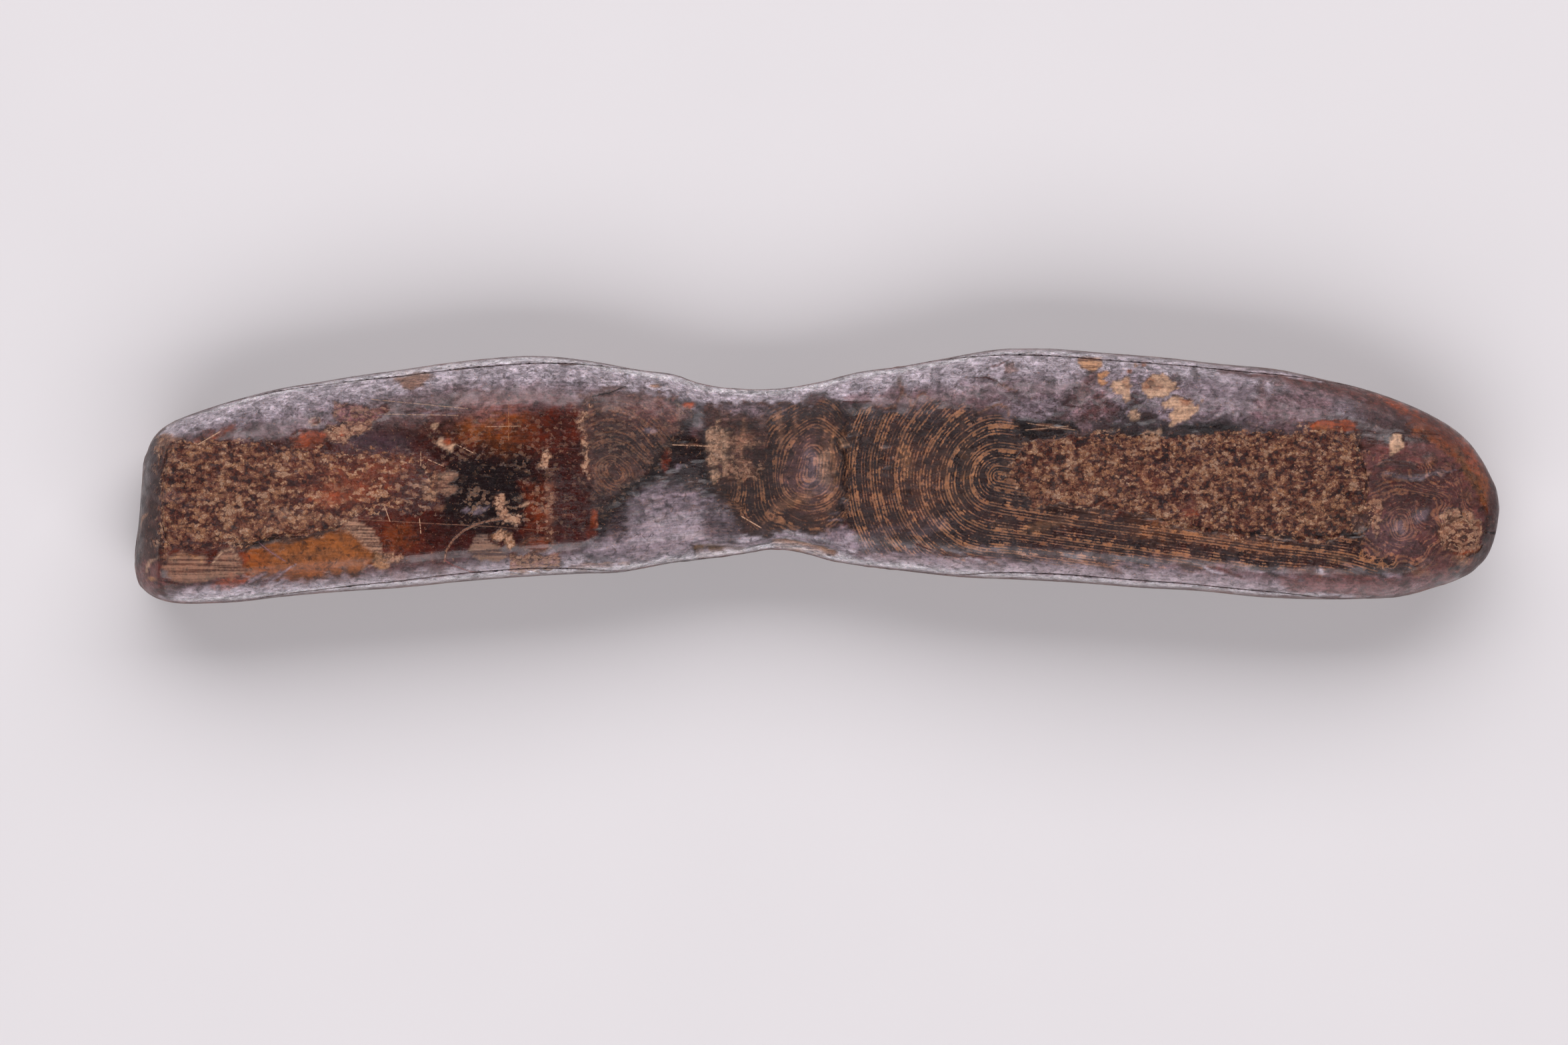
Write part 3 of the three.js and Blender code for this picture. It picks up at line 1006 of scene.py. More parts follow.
LEFT_WING = (
    # stains under the polish
    Mark(Patch(((250, 668), (640, 668), (700, 720), (690, 850), (560, 866), (250, 880)), 49, 10, 30),
        RUSSET, 0.8, layers={DENTS: 0.25}),
    Mark(Patch(((540, 640), (700, 640), (900, 600), (890, 820), (760, 850), (620, 846), (560, 790)),
        56, 10, 34), OXBLOOD, 0.9, layers={DENTS: 0.08}),
    Mark(Patch(((700, 592), (790, 590), (880, 606), (878, 700), (800, 690), (700, 684)), 49, 10, 30),
        RUSSET, 0.95, layers={DENTS: 0.1}),
    Mark(Spot((752, 642), (52, 34), -8, 1.1, 0.2), AMBER, 0.9),
    Mark(Spot((712, 632), (26, 26), 0, 1.2, 0.25), HONEY, 0.3),
    # Painted sheen on the upper shoulder, in mauve.
    Mark(Spot((690, 612), (60, 20), -8, 1.2, 0.3), MAUVE, 0.6),
    Mark(Spot((800, 606), (50, 14), 4, 1.2, 0.3), MAUVE, 0.5),
    Mark(Spot((830, 640), (40, 34), 0, 1.2, 0.3), OXBLOOD, 0.5),
    Mark(Spot((850, 690), (36, 26), 0, 1.2, 0.3), SOOT, 0.5),
    Mark(Spot((785, 655), (40, 18), 0, 1.2, 0.25), RUSSET, 0.5),
    Mark(Patch(((664, 690), (720, 672), (800, 680), (816, 720), (812, 790), (740, 800), (660, 782),
        (640, 730)), 56, 8, 26), BLACK, 0.92, layers={DENTS: 0.05}),
    Mark(Patch(((784, 724), (830, 722), (832, 800), (790, 802)), 18, 6), RUSSET, 0.8, layers={SPECK: 0.3}),
    Mark(Patch(((690, 740), (830, 735), (830, 790), (700, 780)), 26, 8), layers={SPECK: 0.3}),
    Mark(Patch(((610, 690), (650, 684), (660, 770), (612, 770)), 26, 8), layers={SPECK: 0.3}),
    Mark(Patch(((640, 640), (880, 610), (880, 720), (660, 700)), 26, 8), layers={SPECK: 0.16}),
    Mark(Spot((808, 762), (17, 34), 0, 0.9, 0.2), FLAME, 0.25),
    Mark(Patch(((545, 772), (640, 768), (650, 828), (590, 836), (556, 812)), 31, 6), RUSSET, 0.85),
    Mark(Spot((600, 806), (24, 18), 0, 1.0, 0.2), AMBER, 0.35),
    Mark(Spot((520, 742), (44, 17), 8, 0.9, 0.25), FLAME, 0.8),
    Mark(Spot((585, 752), (22, 12), 0, 0.9, 0.25), FLAME, 0.45),
    Mark(Spot((600, 692), (26, 14), 0, 1.0, 0.25), AMBER, 0.4),
    Mark(Patch(((505, 640), (560, 650), (622, 654), (620, 684), (540, 690), (500, 672)), 31, 7),
        SLATE, 0.8, layers={DULL: 0.15}),
    Mark(Patch(((560, 600), (700, 584), (712, 628), (640, 650), (565, 640)), 43, 8), TAUPE, 0.7),
    Mark(Patch(((283, 668), (300, 652), (350, 640), (362, 646), (330, 668)), 15, 5), RUSSET, 0.9),
    Mark(Streak(((288, 670), (330, 654), (358, 640)), 5, wander=3), FLAME, 0.5),
    # amber window and the ledge that shades it
    Mark(Patch(((371, 822), (400, 806), (452, 800), (505, 790), (530, 797), (566, 828), (578, 850),
        (540, 858), (470, 866), (380, 868), (366, 850)), 10, 4), HONEY, 0.97, -0.25,
        {DENTS: 0.02, DULL: 0.6}),
    Mark(Spot((440, 850), (80, 18), 3, 1.0, 0.2), AMBER, 0.6),
    Mark(Spot((455, 838), (60, 12), 3, 1.0, 0.2), GOLD, 0.15),
    Mark(Spot((390, 838), (14, 22), 0, 1.0, 0.2), AMBER, 0.75),
    Mark(Streak(((371, 822), (402, 808), (452, 803), (505, 793)), 13, 0.9, 2), UMBER, 0.9, -0.2,
        {DULL: 1.0}),
    Mark(Streak(((350, 818), (372, 816), (398, 812), (424, 806)), 7, 0.6, 2.5), BLACK, 1.0, -0.3,
        {DULL: 1.0}),
    # striped wedge and crumbs beside it
    Mark(Patch(((505, 780), (536, 778), (560, 794), (577, 822), (574, 832), (548, 818), (528, 797),
        (506, 790)), 3, 2), BUFF, 0.85, 0.05, {CHIP: 1.0, DULL: 0.7}),
    Mark(Spot((572, 840), (13, 9), -30, 0.5, 0.5), GOLD, 0.9, 0.1, {SPECK: 0.5, DULL: 0.6}),
    Mark(Spot((594, 838), (14, 7), 0, 0.5, 0.5), BUFF, 0.8, 0.08, {SPECK: 0.6, DULL: 0.6}),
    # gold flats with tool lines
    Mark(Patch(((253, 833), (275, 829), (306, 834), (322, 850), (336, 866), (306, 874), (264, 868),
        (252, 852)), 8, 6), TAN, 0.9, 0.02, {CHIP: 0.7, DULL: 0.9}),
    Mark(Patch(((322, 848), (336, 826), (350, 822), (366, 842), (374, 856), (360, 866), (334, 872),
        (320, 864)), 4, 5), TAN, 0.85, 0.1, {CHIP: 0.8, DULL: 0.9}),
    Mark(Streak(((256, 838), (286, 832), (306, 838), (308, 846)), 5, wander=2), GOLD, 0.9, 0.05),
    Mark(Streak(((322, 846), (338, 826), (352, 824), (368, 846)), 4, wander=1), CREAM, 0.8, 0.08),
    Mark(Spot((352, 872), (26, 9), 10, 0.8, 0.3), FLAME, 0.7),
    Mark(Spot((372, 834), (10, 10), 0, 0.8, 0.3), FLAME, 0.8),
    Mark(Spot((300, 824), (40, 8), 4, 0.8, 0.3), RUSSET, 0.8),
    # flaky scars on the upper shoulder
    Mark(Patch(((505, 606), (520, 604), (560, 612), (582, 606), (586, 620), (556, 636), (512, 634),
        (502, 620)), 3, 4), ROSE, 0.7, -0.15, {SPECK: 0.4, DULL: 0.6, DENTS: 1.4}),
    Mark(Patch(((440, 664), (446, 652), (490, 648), (496, 662), (470, 674), (444, 676)), 10, 5),
        FLAME, 0.85, -0.1, {DENTS: 0.8}),
    Mark(Patch(((492, 640), (520, 636), (560, 634), (564, 642), (528, 654), (520, 668), (496, 660)),
        3, 4), TAN, 0.7, -0.12, {SPECK: 0.7, DULL: 0.7, DENTS: 1.0}),
    Mark(Spot((512, 648), (8, 7), 0, 0.5, 0.3), FLAME, 0.8),
    Mark(Spot((475, 633), (9, 7), 0, 0.3), CREAM, 0.5, -0.12),
    Mark(Spot((476, 633), (6, 4.5), 0, 0.4), ROSE, 0.8, 0.1),
    Mark(Patch(((597, 564), (640, 556), (648, 566), (636, 580), (606, 584), (596, 576)), 8, 5),
        BUFF, 0.85, 0.05, {DULL: 0.7, CHIP: 0.4}),
    Mark(Patch(((686, 546), (694, 545), (698, 553), (690, 560), (682, 556)), 2, 2), CREAM, 0.8, 0.05),
    # small chips
    Mark(Patch(((658, 656), (666, 655), (672, 664), (688, 668), (680, 676), (668, 672), (659, 664)),
        3, 3), CREAM, 0.8, -0.12, {DULL: 0.6}),
    Mark(Spot((674, 664), (7, 5), 0, 0.6, 0.3), FLAME, 0.9, -0.1),
    Mark(Patch(((636, 722), (654, 712), (676, 706), (690, 712), (678, 726), (690, 734), (686, 741),
        (664, 742), (650, 756), (638, 748)), 3, 3), TAN, 0.85, 0.06,
        {CHIP: 0.7, DULL: 0.7, SPECK: 0.3, DENTS: 1.0}),
    Mark(Streak(((642, 726), (660, 716), (684, 711)), 5, 0.5, 2), CREAM, 0.4, 0.04),
    Mark(Spot((662, 762), (8, 4), 0, 0.5, 0.4), BUFF, 0.6, 0.05),
    Mark(Spot((655, 640), (5, 4), 0, 0.4, 0.3), CREAM, 0.7),
    # crumbs on the black glossy part
    Mark(Patch(((808, 680), (822, 678), (828, 690), (824, 702), (814, 698)), 3, 5, 7), BUFF, 0.5, 0.05,
        {DULL: 0.7, SPECK: 0.95}),
    Mark(Patch(((740, 742), (756, 740), (760, 750), (764, 768), (786, 772), (780, 788), (758, 786),
        (748, 766)), 4, 6, 9), TAN, 0.35, 0.05, {SPECK: 0.85, DULL: 0.6}),
    Mark(Spot((790, 756), (6, 4), 20, 0.5, 0.4), CREAM, 0.8, 0.06),
    Mark(Spot((725, 765), (10, 5), 10, 0.5, 0.5), LILAC, 0.7, 0.05),
    Mark(Spot((703, 766), (6, 4), 0, 0.5, 0.5), LILAC, 0.6, 0.05),
    Mark(Patch(((704, 830), (712, 808), (728, 800), (742, 812), (764, 834), (752, 842), (716, 842)),
        3, 3), TAUPE, 0.95, 0.04, {CHIP: 0.9, DULL: 0.5}),
    Mark(Patch(((738, 800), (756, 796), (770, 804), (776, 820), (768, 826), (756, 812), (742, 808)),
        3, 3, 8), GOLD, 0.55, 0.08, {SPECK: 0.9, DULL: 0.7}),
    Mark(Spot((808, 817), (26, 12), 0, 0.25), TAN, 0.8, -0.08),
    Mark(Spot((808, 817), (20, 8), 0, 0.3), CHESTNUT, 0.9, 0.16),
    Mark(Patch(((760, 848), (776, 830), (810, 832), (838, 834), (842, 848), (820, 856), (780, 862),
        (764, 860)), 4, 5, 10), TAN, 0.75, 0.02, {SPECK: 0.6, DULL: 0.8, DENTS: 1.4}),
    Mark(Patch(((848, 852), (870, 844), (920, 842), (944, 846), (910, 852), (870, 856)), 3, 3),
        FLAME, 0.5, 0.0, {CHIP: 0.8}),
    Mark(Patch(((822, 730), (838, 724), (842, 760), (838, 800), (826, 806)), 4, 5, 8), TAN, 0.3, 0.0,
        {SPECK: 0.75}),
)

LEFT_SCRATCHES = (
    Mark(Streak(((392, 814), (410, 828), (432, 842)), 2.6, 0.4), MAUVE, 0.7, -0.08),
    Mark(Streak(((300, 668), (318, 658), (334, 648)), 2, 0.4), CREAM, 0.5, -0.06),
    Mark(Streak(((320, 634), (330, 648), (337, 652)), 3, 0.5), LILAC, 0.7, -0.12),
    Mark(Streak(((346, 618), (356, 632), (362, 648)), 3, 0.5), LILAC, 0.5, -0.1),
    Mark(Streak(((484, 618), (490, 630), (492, 640)), 3, 0.5), SLATE, 0.6, -0.12),
    Mark(Streak(((560, 600), (600, 604), (650, 612), (704, 614)), 2.2, 0.4, 1.5), LILAC, 0.5, -0.05),
    Mark(Streak(((570, 622), (620, 620), (690, 624)), 2, 0.4, 1.5), LILAC, 0.5, -0.05),
    Mark(Streak(((368, 880), (388, 868), (404, 860)), 7, 0.5, 2), LILAC, 0.7, 0.1),
    Mark(Streak(((392, 882), (412, 866), (426, 856)), 6, 0.5, 2), MAUVE, 0.8, 0.1),
    Mark(Streak(((404, 876), (424, 864), (446, 846)), 5, 0.5, 2), LILAC, 0.7, 0.08),
    Mark(
        Streak(
            ((752, 779), (722, 784), (700, 792), (682, 806), (672, 824), (669, 842), (684, 848),
                (706, 856), (731, 860)),
            3.2, 0.4, 1.0,
        ),
        rise=-0.08,
    ),
)

WAIST_LEFT = (
    Mark(Patch(((872, 596), (900, 584), (1000, 586), (1046, 620), (1012, 668), (994, 700), (948, 734),
        (894, 790), (884, 760), (880, 716)), 13, 5), TAUPE, 0.85,
        layers={DENTS: 0.5, DULL: 0.35, SPECK: 0.12}),
    Mark(Patch(((828, 716), (884, 712), (896, 780), (880, 806), (828, 806)), 18, 6), OXBLOOD, 0.8,
        layers={DENTS: 0.3, SPECK: 0.1}),
    Mark(Patch(((944, 606), (1005, 600), (1010, 630), (960, 642), (940, 630)), 25, 6), ROSE, 0.6),
    Mark(Patch(((900, 640), (990, 640), (1000, 668), (960, 700), (900, 690)), 37, 6), SOOT, 0.7),
    # scooped hollow, with its sheen painted in lilac and pale, and painted shade in soot and slate at its
    # sides
    Mark(Patch(((900, 790), (948, 738), (996, 706), (1050, 700), (1062, 740), (1100, 770), (1112, 800),
        (1090, 822), (1010, 838), (930, 850), (880, 830)), 31, 6), LILAC, 0.9, -0.35,
        {DENTS: 0.1, RIPPLE: 0.8, DULL: 0.0}),
    Mark(Spot((1012, 752), (56, 28), 4, 1.1, 0.15), LILAC, 0.8, -0.35),
    Mark(Spot((1020, 790), (70, 22), 4, 1.1, 0.3), PALE, 0.35),
    Mark(Patch(((890, 740), (940, 738), (944, 800), (900, 812), (882, 780)), 25, 5), SOOT, 0.9,
        layers={RIPPLE: 0.2}),
    Mark(Patch(((984, 668), (1040, 662), (1064, 690), (1062, 734), (1010, 728), (978, 712)), 25, 5),
        SOOT, 0.95, -0.2, {DENTS: 0.1}),
    Mark(Patch(((1062, 770), (1106, 778), (1116, 806), (1080, 812), (1050, 796)), 25, 5), SLATE, 0.8),
    # dark valley between the wing and the seat, its shade painted in black, and amber that glows in it
    Mark(Streak(((1047, 622), (1030, 644), (1009, 668), (996, 694), (970, 716), (940, 738), (904, 776),
        (892, 800)), 18, 0.9, 4), BLACK, 0.9, layers={DENTS: 0.1, RIPPLE: 0.05, DULL: 0.3}),
    Mark(Streak(((1000, 600), (1046, 606), (1060, 640), (1062, 690), (1066, 724)), 16, 0.9, 4),
        BLACK, 0.85, layers={DENTS: 0.1, RIPPLE: 0.05, DULL: 0.4}),
    Mark(Spot((1034, 609), (9, 5), 0, 0.5, 0.2), FLAME, 0.9, 0.05),
    Mark(Spot((1000, 691), (6, 13), -10, 0.7, 0.3), RUSSET, 1.0),
    Mark(Spot((892, 779), (6, 14), 0, 0.7, 0.3), FLAME, 0.7),
    Mark(Spot((888, 800), (9, 9), 0, 0.7, 0.3), RUSSET, 0.8),
    # saw-toothed limit of the polish
    Mark(Streak(((884, 600), (880, 620), (873, 642), (878, 662), (876, 690), (880, 706), (884, 716)),
        8, 0.7, 5), TAN, 0.4, 0.03, {SPECK: 0.8, DULL: 0.7}),
    Mark(Streak(((826, 722), (824, 760), (826, 802)), 7, 0.7, 5), TAN, 0.6, 0.02, {DULL: 0.6}),
    Mark(Spot((978, 646), (8, 5), 0, 0.8, 0.3), LILAC, 0.8),
    Mark(Spot((1019, 701), (5, 4), 0, 0.7, 0.2), LILAC, 0.9, 0.06),
    Mark(Streak(((1010, 668), (1040, 668), (1066, 670)), 2, 0.4, 1), BUFF, 0.5),
    Mark(Streak(((1006, 586), (1010, 604), (1024, 616)), 2.4, 0.4, 1), ROSE, 0.7, -0.1),
    Mark(Streak(((890, 596), (916, 590), (936, 582)), 2.4, 0.4, 1), SOOT, 0.8, -0.12),
    Mark(Spot((984, 580), (8, 3), 0, 0.5, 0.3), GOLD, 0.8),
)

SEAT = (
    Mark(Patch(((1060, 612), (1100, 604), (1160, 606), (1262, 598), (1272, 640), (1262, 700),
        (1272, 760), (1262, 806), (1180, 800), (1118, 806), (1100, 770), (1072, 740), (1058, 690)),
        10, 4), UMBER, 0.95, layers={DENTS: 0.6, DULL: 0.7}),
    Mark(Patch(((1062, 612), (1100, 606), (1150, 610), (1160, 660), (1148, 706), (1100, 716),
        (1066, 700)), 15, 6), TAUPE, 0.8, layers={DENTS: 1.0}),
    Mark(Patch(((1080, 652), (1120, 650), (1146, 664), (1120, 680), (1084, 676)), 10, 5),
        TAN, 0.6, 0.10, {CHIP: 0.3, SPECK: 0.3}),
    Mark(Patch(((1066, 640), (1080, 630), (1084, 660), (1078, 700), (1086, 716), (1072, 726),
        (1062, 690)), 4, 5, 9), CREAM, 0.5, 0.1, {SPECK: 0.5, DULL: 0.6}),
    Mark(Patch(((1080, 686), (1100, 684), (1140, 700), (1144, 714), (1110, 722), (1084, 716)),
        4, 6, 9), BUFF, 0.4, 0.1, {SPECK: 0.4, DENTS: 1.2}),
    Mark(Patch(((1100, 732), (1130, 716), (1160, 720), (1180, 770), (1168, 796), (1110, 780)), 20, 5),
        UMBER, 0.8),
    Mark(Patch(((1180, 640), (1262, 640), (1266, 740), (1240, 790), (1190, 780), (1176, 720)), 25, 5),
        TAN, 0.5),
    Mark(Patch(((1230, 650), (1252, 646), (1258, 700), (1246, 740), (1224, 730)), 20, 5), BUFF, 0.6),
    # Painted reflection of the lights in mauve and lilac, on the rounded middle of the rings and near the
    # upper edge.
    Mark(Spot((1214, 702), (34, 50), 0, 1.0, 0.3), MAUVE, 0.6),
    Mark(Spot((1218, 700), (16, 22), 0, 1.0, 0.3), LILAC, 0.6),
    Mark(Spot((1230, 730), (22, 12), 20, 1.0, 0.3), LILAC, 0.5),
    Mark(Spot((1128, 616), (40, 9), -6, 1.0, 0.3), LILAC, 0.55),
    Mark(Spot((1120, 640), (26, 8), -12, 1.0, 0.4), BLACK, 0.6),
    Mark(Spot((1146, 692), (10, 34), 0, 1.0, 0.4), BLACK, 0.6),
    Mark(Spot((1130, 756), (30, 16), -30, 1.0, 0.4), BLACK, 0.5),
    Mark(Spot((1196, 650), (26, 8), 10, 1.0, 0.4), BLACK, 0.4),
    Mark(Streak(((1170, 614), (1171, 640), (1172, 675)), 8, 0.5, 1), BUFF, 0.75, 0.05, {CHIP: 0.2}),
    *(
        Mark(Streak(((x, top), (x - 3, (top + low) / 2), (x + 2, low)), 7, 0.8, 3, seed), stain, 0.65, rise)
        for seed, (x, top, low, stain, rise) in enumerate((
            (1160, 620, 700, BLACK, -0.08), (1184, 616, 690, BLACK, -0.06),
            (1196, 620, 664, BUFF, 0.05), (1208, 616, 650, UMBER, -0.06),
            (1238, 620, 700, BUFF, 0.08), (1250, 640, 730, GOLD, 0.06),
            (1246, 720, 780, BUFF, 0.06), (1228, 640, 690, BLACK, -0.05),
            (1100, 640, 716, BLACK, -0.06), (1116, 626, 700, BUFF, 0.06),
            (1136, 640, 716, UMBER, -0.06), (1088, 640, 712, CREAM, 0.06),
        ))
    ),
    Mark(Spot((1200, 748), (30, 8), 24, 0.9, 0.4), GOLD, 0.5),
    Mark(Spot((1170, 760), (26, 8), 40, 0.9, 0.4), BUFF, 0.5),
    Mark(Spot((1236, 700), (10, 22), 0, 0.9, 0.4), CREAM, 0.5),
    Mark(Spot((1225, 601), (17, 11), 0, 0.7, 0.2), OXBLOOD, 0.9, 0.25),
    Mark(Streak(((1262, 604), (1252, 618), (1264, 640), (1254, 664), (1266, 690), (1258, 716),
        (1268, 744), (1256, 764), (1266, 790)), 8, 0.7, 3), BLACK, 0.75, -0.2),
    # ribs and flakes past the seat
    Mark(Patch(((1260, 606), (1294, 606), (1290, 638), (1264, 636)), 4, 3), SLATE, 0.85, 0.1, {DENTS: 0.8}),
    Mark(Patch(((1257, 658), (1276, 656), (1291, 654), (1282, 668), (1262, 672)), 2.5, 1.5),
        CREAM, 1.0, 0.25, {DULL: 0.6}),
    Mark(Patch(((1259, 752), (1270, 750), (1284, 764), (1270, 768)), 2.5, 2), LILAC, 0.9, 0.2),
    Mark(Streak(((1242, 772), (1258, 770), (1272, 770)), 3.5, 0.5, 1), LILAC, 0.8, 0.15),
    Mark(Streak(((1240, 781), (1256, 779), (1272, 780)), 3.5, 0.5, 1), LILAC, 0.8, 0.15),
    Mark(Streak(((1240, 790), (1256, 788), (1272, 790)), 3.5, 0.5, 1), ROSE, 0.8, 0.15),
    Mark(Patch(((1240, 794), (1270, 786), (1300, 812), (1280, 826), (1244, 812)), 10, 4), LILAC, 0.9,
        layers={DENTS: 0.3}),
    Mark(Streak(((1264, 603), (1284, 604), (1304, 603)), 2.5, 0.4, 1), OXBLOOD, 0.8, -0.1),
    # broken scars of the lower edge
    Mark(Patch(((1040, 818), (1060, 814), (1118, 819), (1116, 832), (1080, 836), (1044, 838)),
        2.5, 1.5), OLIVE, 1.0, -0.5, {CHIP: 0.3, DULL: 0.8, DENTS: 0.1}),
    Mark(Patch(((1159, 810), (1178, 806), (1212, 816), (1252, 824), (1254, 836), (1200, 830),
        (1164, 820)), 2.5, 1.5), BUFF, 1.0, -0.5, {CHIP: 1.0, DULL: 0.8, DENTS: 0.1}),
    Mark(Streak(((1058, 814), (1060, 826), (1056, 836)), 5, 0.5, 1), LILAC, 0.9, 0.3),
)

FIELD = (
    Mark(Patch(((1270, 606), (1340, 590), (1420, 606), (1500, 622), (1530, 650), (1524, 720),
        (1560, 770), (1700, 800), (1720, 830), (1560, 838), (1420, 830), (1300, 816), (1264, 780)),
        13, 6), SOOT, 0.97, layers={DENTS: 0.3, DULL: 0.25}),
    Mark(Patch(((1290, 650), (1360, 640), (1400, 680), (1396, 800), (1330, 810), (1290, 760)),
        43, 10, 30), CHESTNUT, 0.55, layers={DENTS: 0.7}),
    Mark(Patch(((1350, 670), (1400, 664), (1420, 700), (1416, 760), (1380, 770), (1354, 730)),
        31, 8, 20), TAN, 0.5),
    Mark(Spot((1358, 688), (10, 22), 0, 0.8, 0.4), GOLD, 0.7),
    Mark(Spot((1448, 700), (9, 44), 2, 0.8, 0.4), GOLD, 0.75),
    Mark(Spot((1418, 700), (8, 36), 2, 0.8, 0.4), BUFF, 0.5),
    Mark(Spot((1464, 690), (7, 34), 2, 0.8, 0.4), BUFF, 0.6),
    Mark(Spot((1380, 740), (22, 12), -40, 0.8, 0.4), TAN, 0.5),
    Mark(Spot((1440, 750), (26, 12), -50, 0.8, 0.4), BUFF, 0.5),
    Mark(Spot((1520, 790), (50, 10), -12, 0.8, 0.4), BUFF, 0.45),
    Mark(Spot((1330, 640), (30, 10), 10, 0.8, 0.4), CHESTNUT, 0.6),
    Mark(Spot((1300, 640), (16, 20), 10, 0.8, 0.5), TAN, 0.5),
    Mark(Spot((1312, 620), (18, 8), 10, 0.8, 0.5), LILAC, 0.5),
    Mark(Spot((1340, 770), (26, 14), 20, 0.8, 0.4), BLACK, 0.6),
    Mark(Spot((1306, 690), (14, 40), 0, 0.8, 0.4), BLACK, 0.5),
    Mark(Spot((1400, 790), (34, 12), 12, 0.8, 0.4), LILAC, 0.5),
    Mark(Spot((1320, 800), (30, 10), 12, 0.8, 0.4), LILAC, 0.5),
    Mark(Patch(((1440, 660), (1490, 640), (1520, 660), (1520, 730), (1500, 760), (1440, 740)),
        31, 8, 24), SOOT, 0.75),
    Mark(Patch(((1270, 610), (1330, 610), (1340, 650), (1300, 700), (1272, 690)), 20, 8, 16),
        SOOT, 0.6, layers={DENTS: 1.0}),
    Mark(Streak(((1420, 666), (1432, 676), (1435, 700), (1430, 724)), 9, 0.6, 1.5), BLACK, 0.9, -0.05),
    Mark(Patch(((1448, 757), (1470, 746), (1505, 748), (1513, 768), (1500, 786), (1462, 784)),
        17, 6, 16), OXBLOOD, 0.95, 0.05, {LINES: 0.15}),
    Mark(Streak(((1480, 770), (1460, 792), (1444, 812), (1438, 826)), 12, 0.7, 3), OXBLOOD, 0.9),
    Mark(Streak(((1371, 816), (1392, 822), (1416, 833), (1440, 836), (1458, 834)), 4, 0.4, 1),
        RUSSET, 0.9, -0.2),
    Mark(Streak(((1376, 820), (1400, 828), (1430, 840), (1456, 838)), 5, 0.4, 1), LILAC, 0.7, 0.1),
    Mark(Patch(((1500, 690), (1520, 690), (1540, 740), (1536, 760), (1506, 750)), 15, 5), SOOT, 0.8),
    Mark(Spot((1480, 660), (34, 16), 0, 0.9, 0.4), BLACK, 0.6),
    Mark(Spot((1500, 706), (16, 30), 0, 0.9, 0.4), BLACK, 0.6),
    Mark(Spot((1385, 650), (40, 14), -10, 0.9, 0.4), SOOT, 0.6),
    Mark(Spot((1390, 626), (30, 9), -10, 0.9, 0.4), SLATE, 0.6),
    Mark(Spot((1330, 708), (7, 5), 0, 0.5, 0.3), OXBLOOD, 0.9, -0.2),
    Mark(Spot((1340, 690), (9, 6), 0, 0.6, 0.4), CHESTNUT, 0.8, 0.1),
    # jagged lower limit of the skin above it, and the skin's sheen painted in mauve
    Mark(Streak(((1268, 602), (1340, 598), (1400, 602), (1460, 612), (1500, 620)), 26, 0.9, 7),
        MAUVE, 0.75),
    Mark(
        Streak(
            ((1296, 604), (1322, 610), (1340, 616), (1350, 592), (1362, 596), (1368, 612), (1384, 592),
                (1396, 600), (1402, 614), (1432, 614), (1444, 624)),
            5, 0.5, 3,
        ),
        TAN, 0.85, 0.1,
    ),
    Mark(Streak(((1458, 624), (1480, 612), (1498, 608), (1508, 612), (1514, 628)), 4, 0.5, 2),
        BUFF, 0.8, 0.08),
    Mark(Streak(((1350, 562), (1349, 580), (1352, 596)), 8, 0.6, 3), TAN, 0.8, 0.12),
    Mark(Streak(((1441, 628), (1442, 644), (1446, 662)), 7, 0.6, 2), TAN, 0.8, 0.08),
    Mark(Streak(((1461, 568), (1478, 567), (1494, 572), (1500, 578)), 3, 0.4, 1.5), RUSSET, 0.9, -0.15),
    Mark(Streak(((1494, 572), (1508, 584), (1524, 590)), 3, 0.4, 2), BUFF, 0.7, 0.08),
    Mark(Streak(((1478, 554), (1500, 548), (1512, 540)), 2.6, 0.4, 2), ROSE, 0.8, -0.1),
    Mark(Patch(((1505, 548), (1520, 546), (1522, 556), (1508, 560)), 3, 3), TAN, 0.7, -0.08),
    Mark(Patch(((1400, 556), (1412, 552), (1410, 590), (1402, 600)), 4, 3), SLATE, 0.5, -0.1),
)

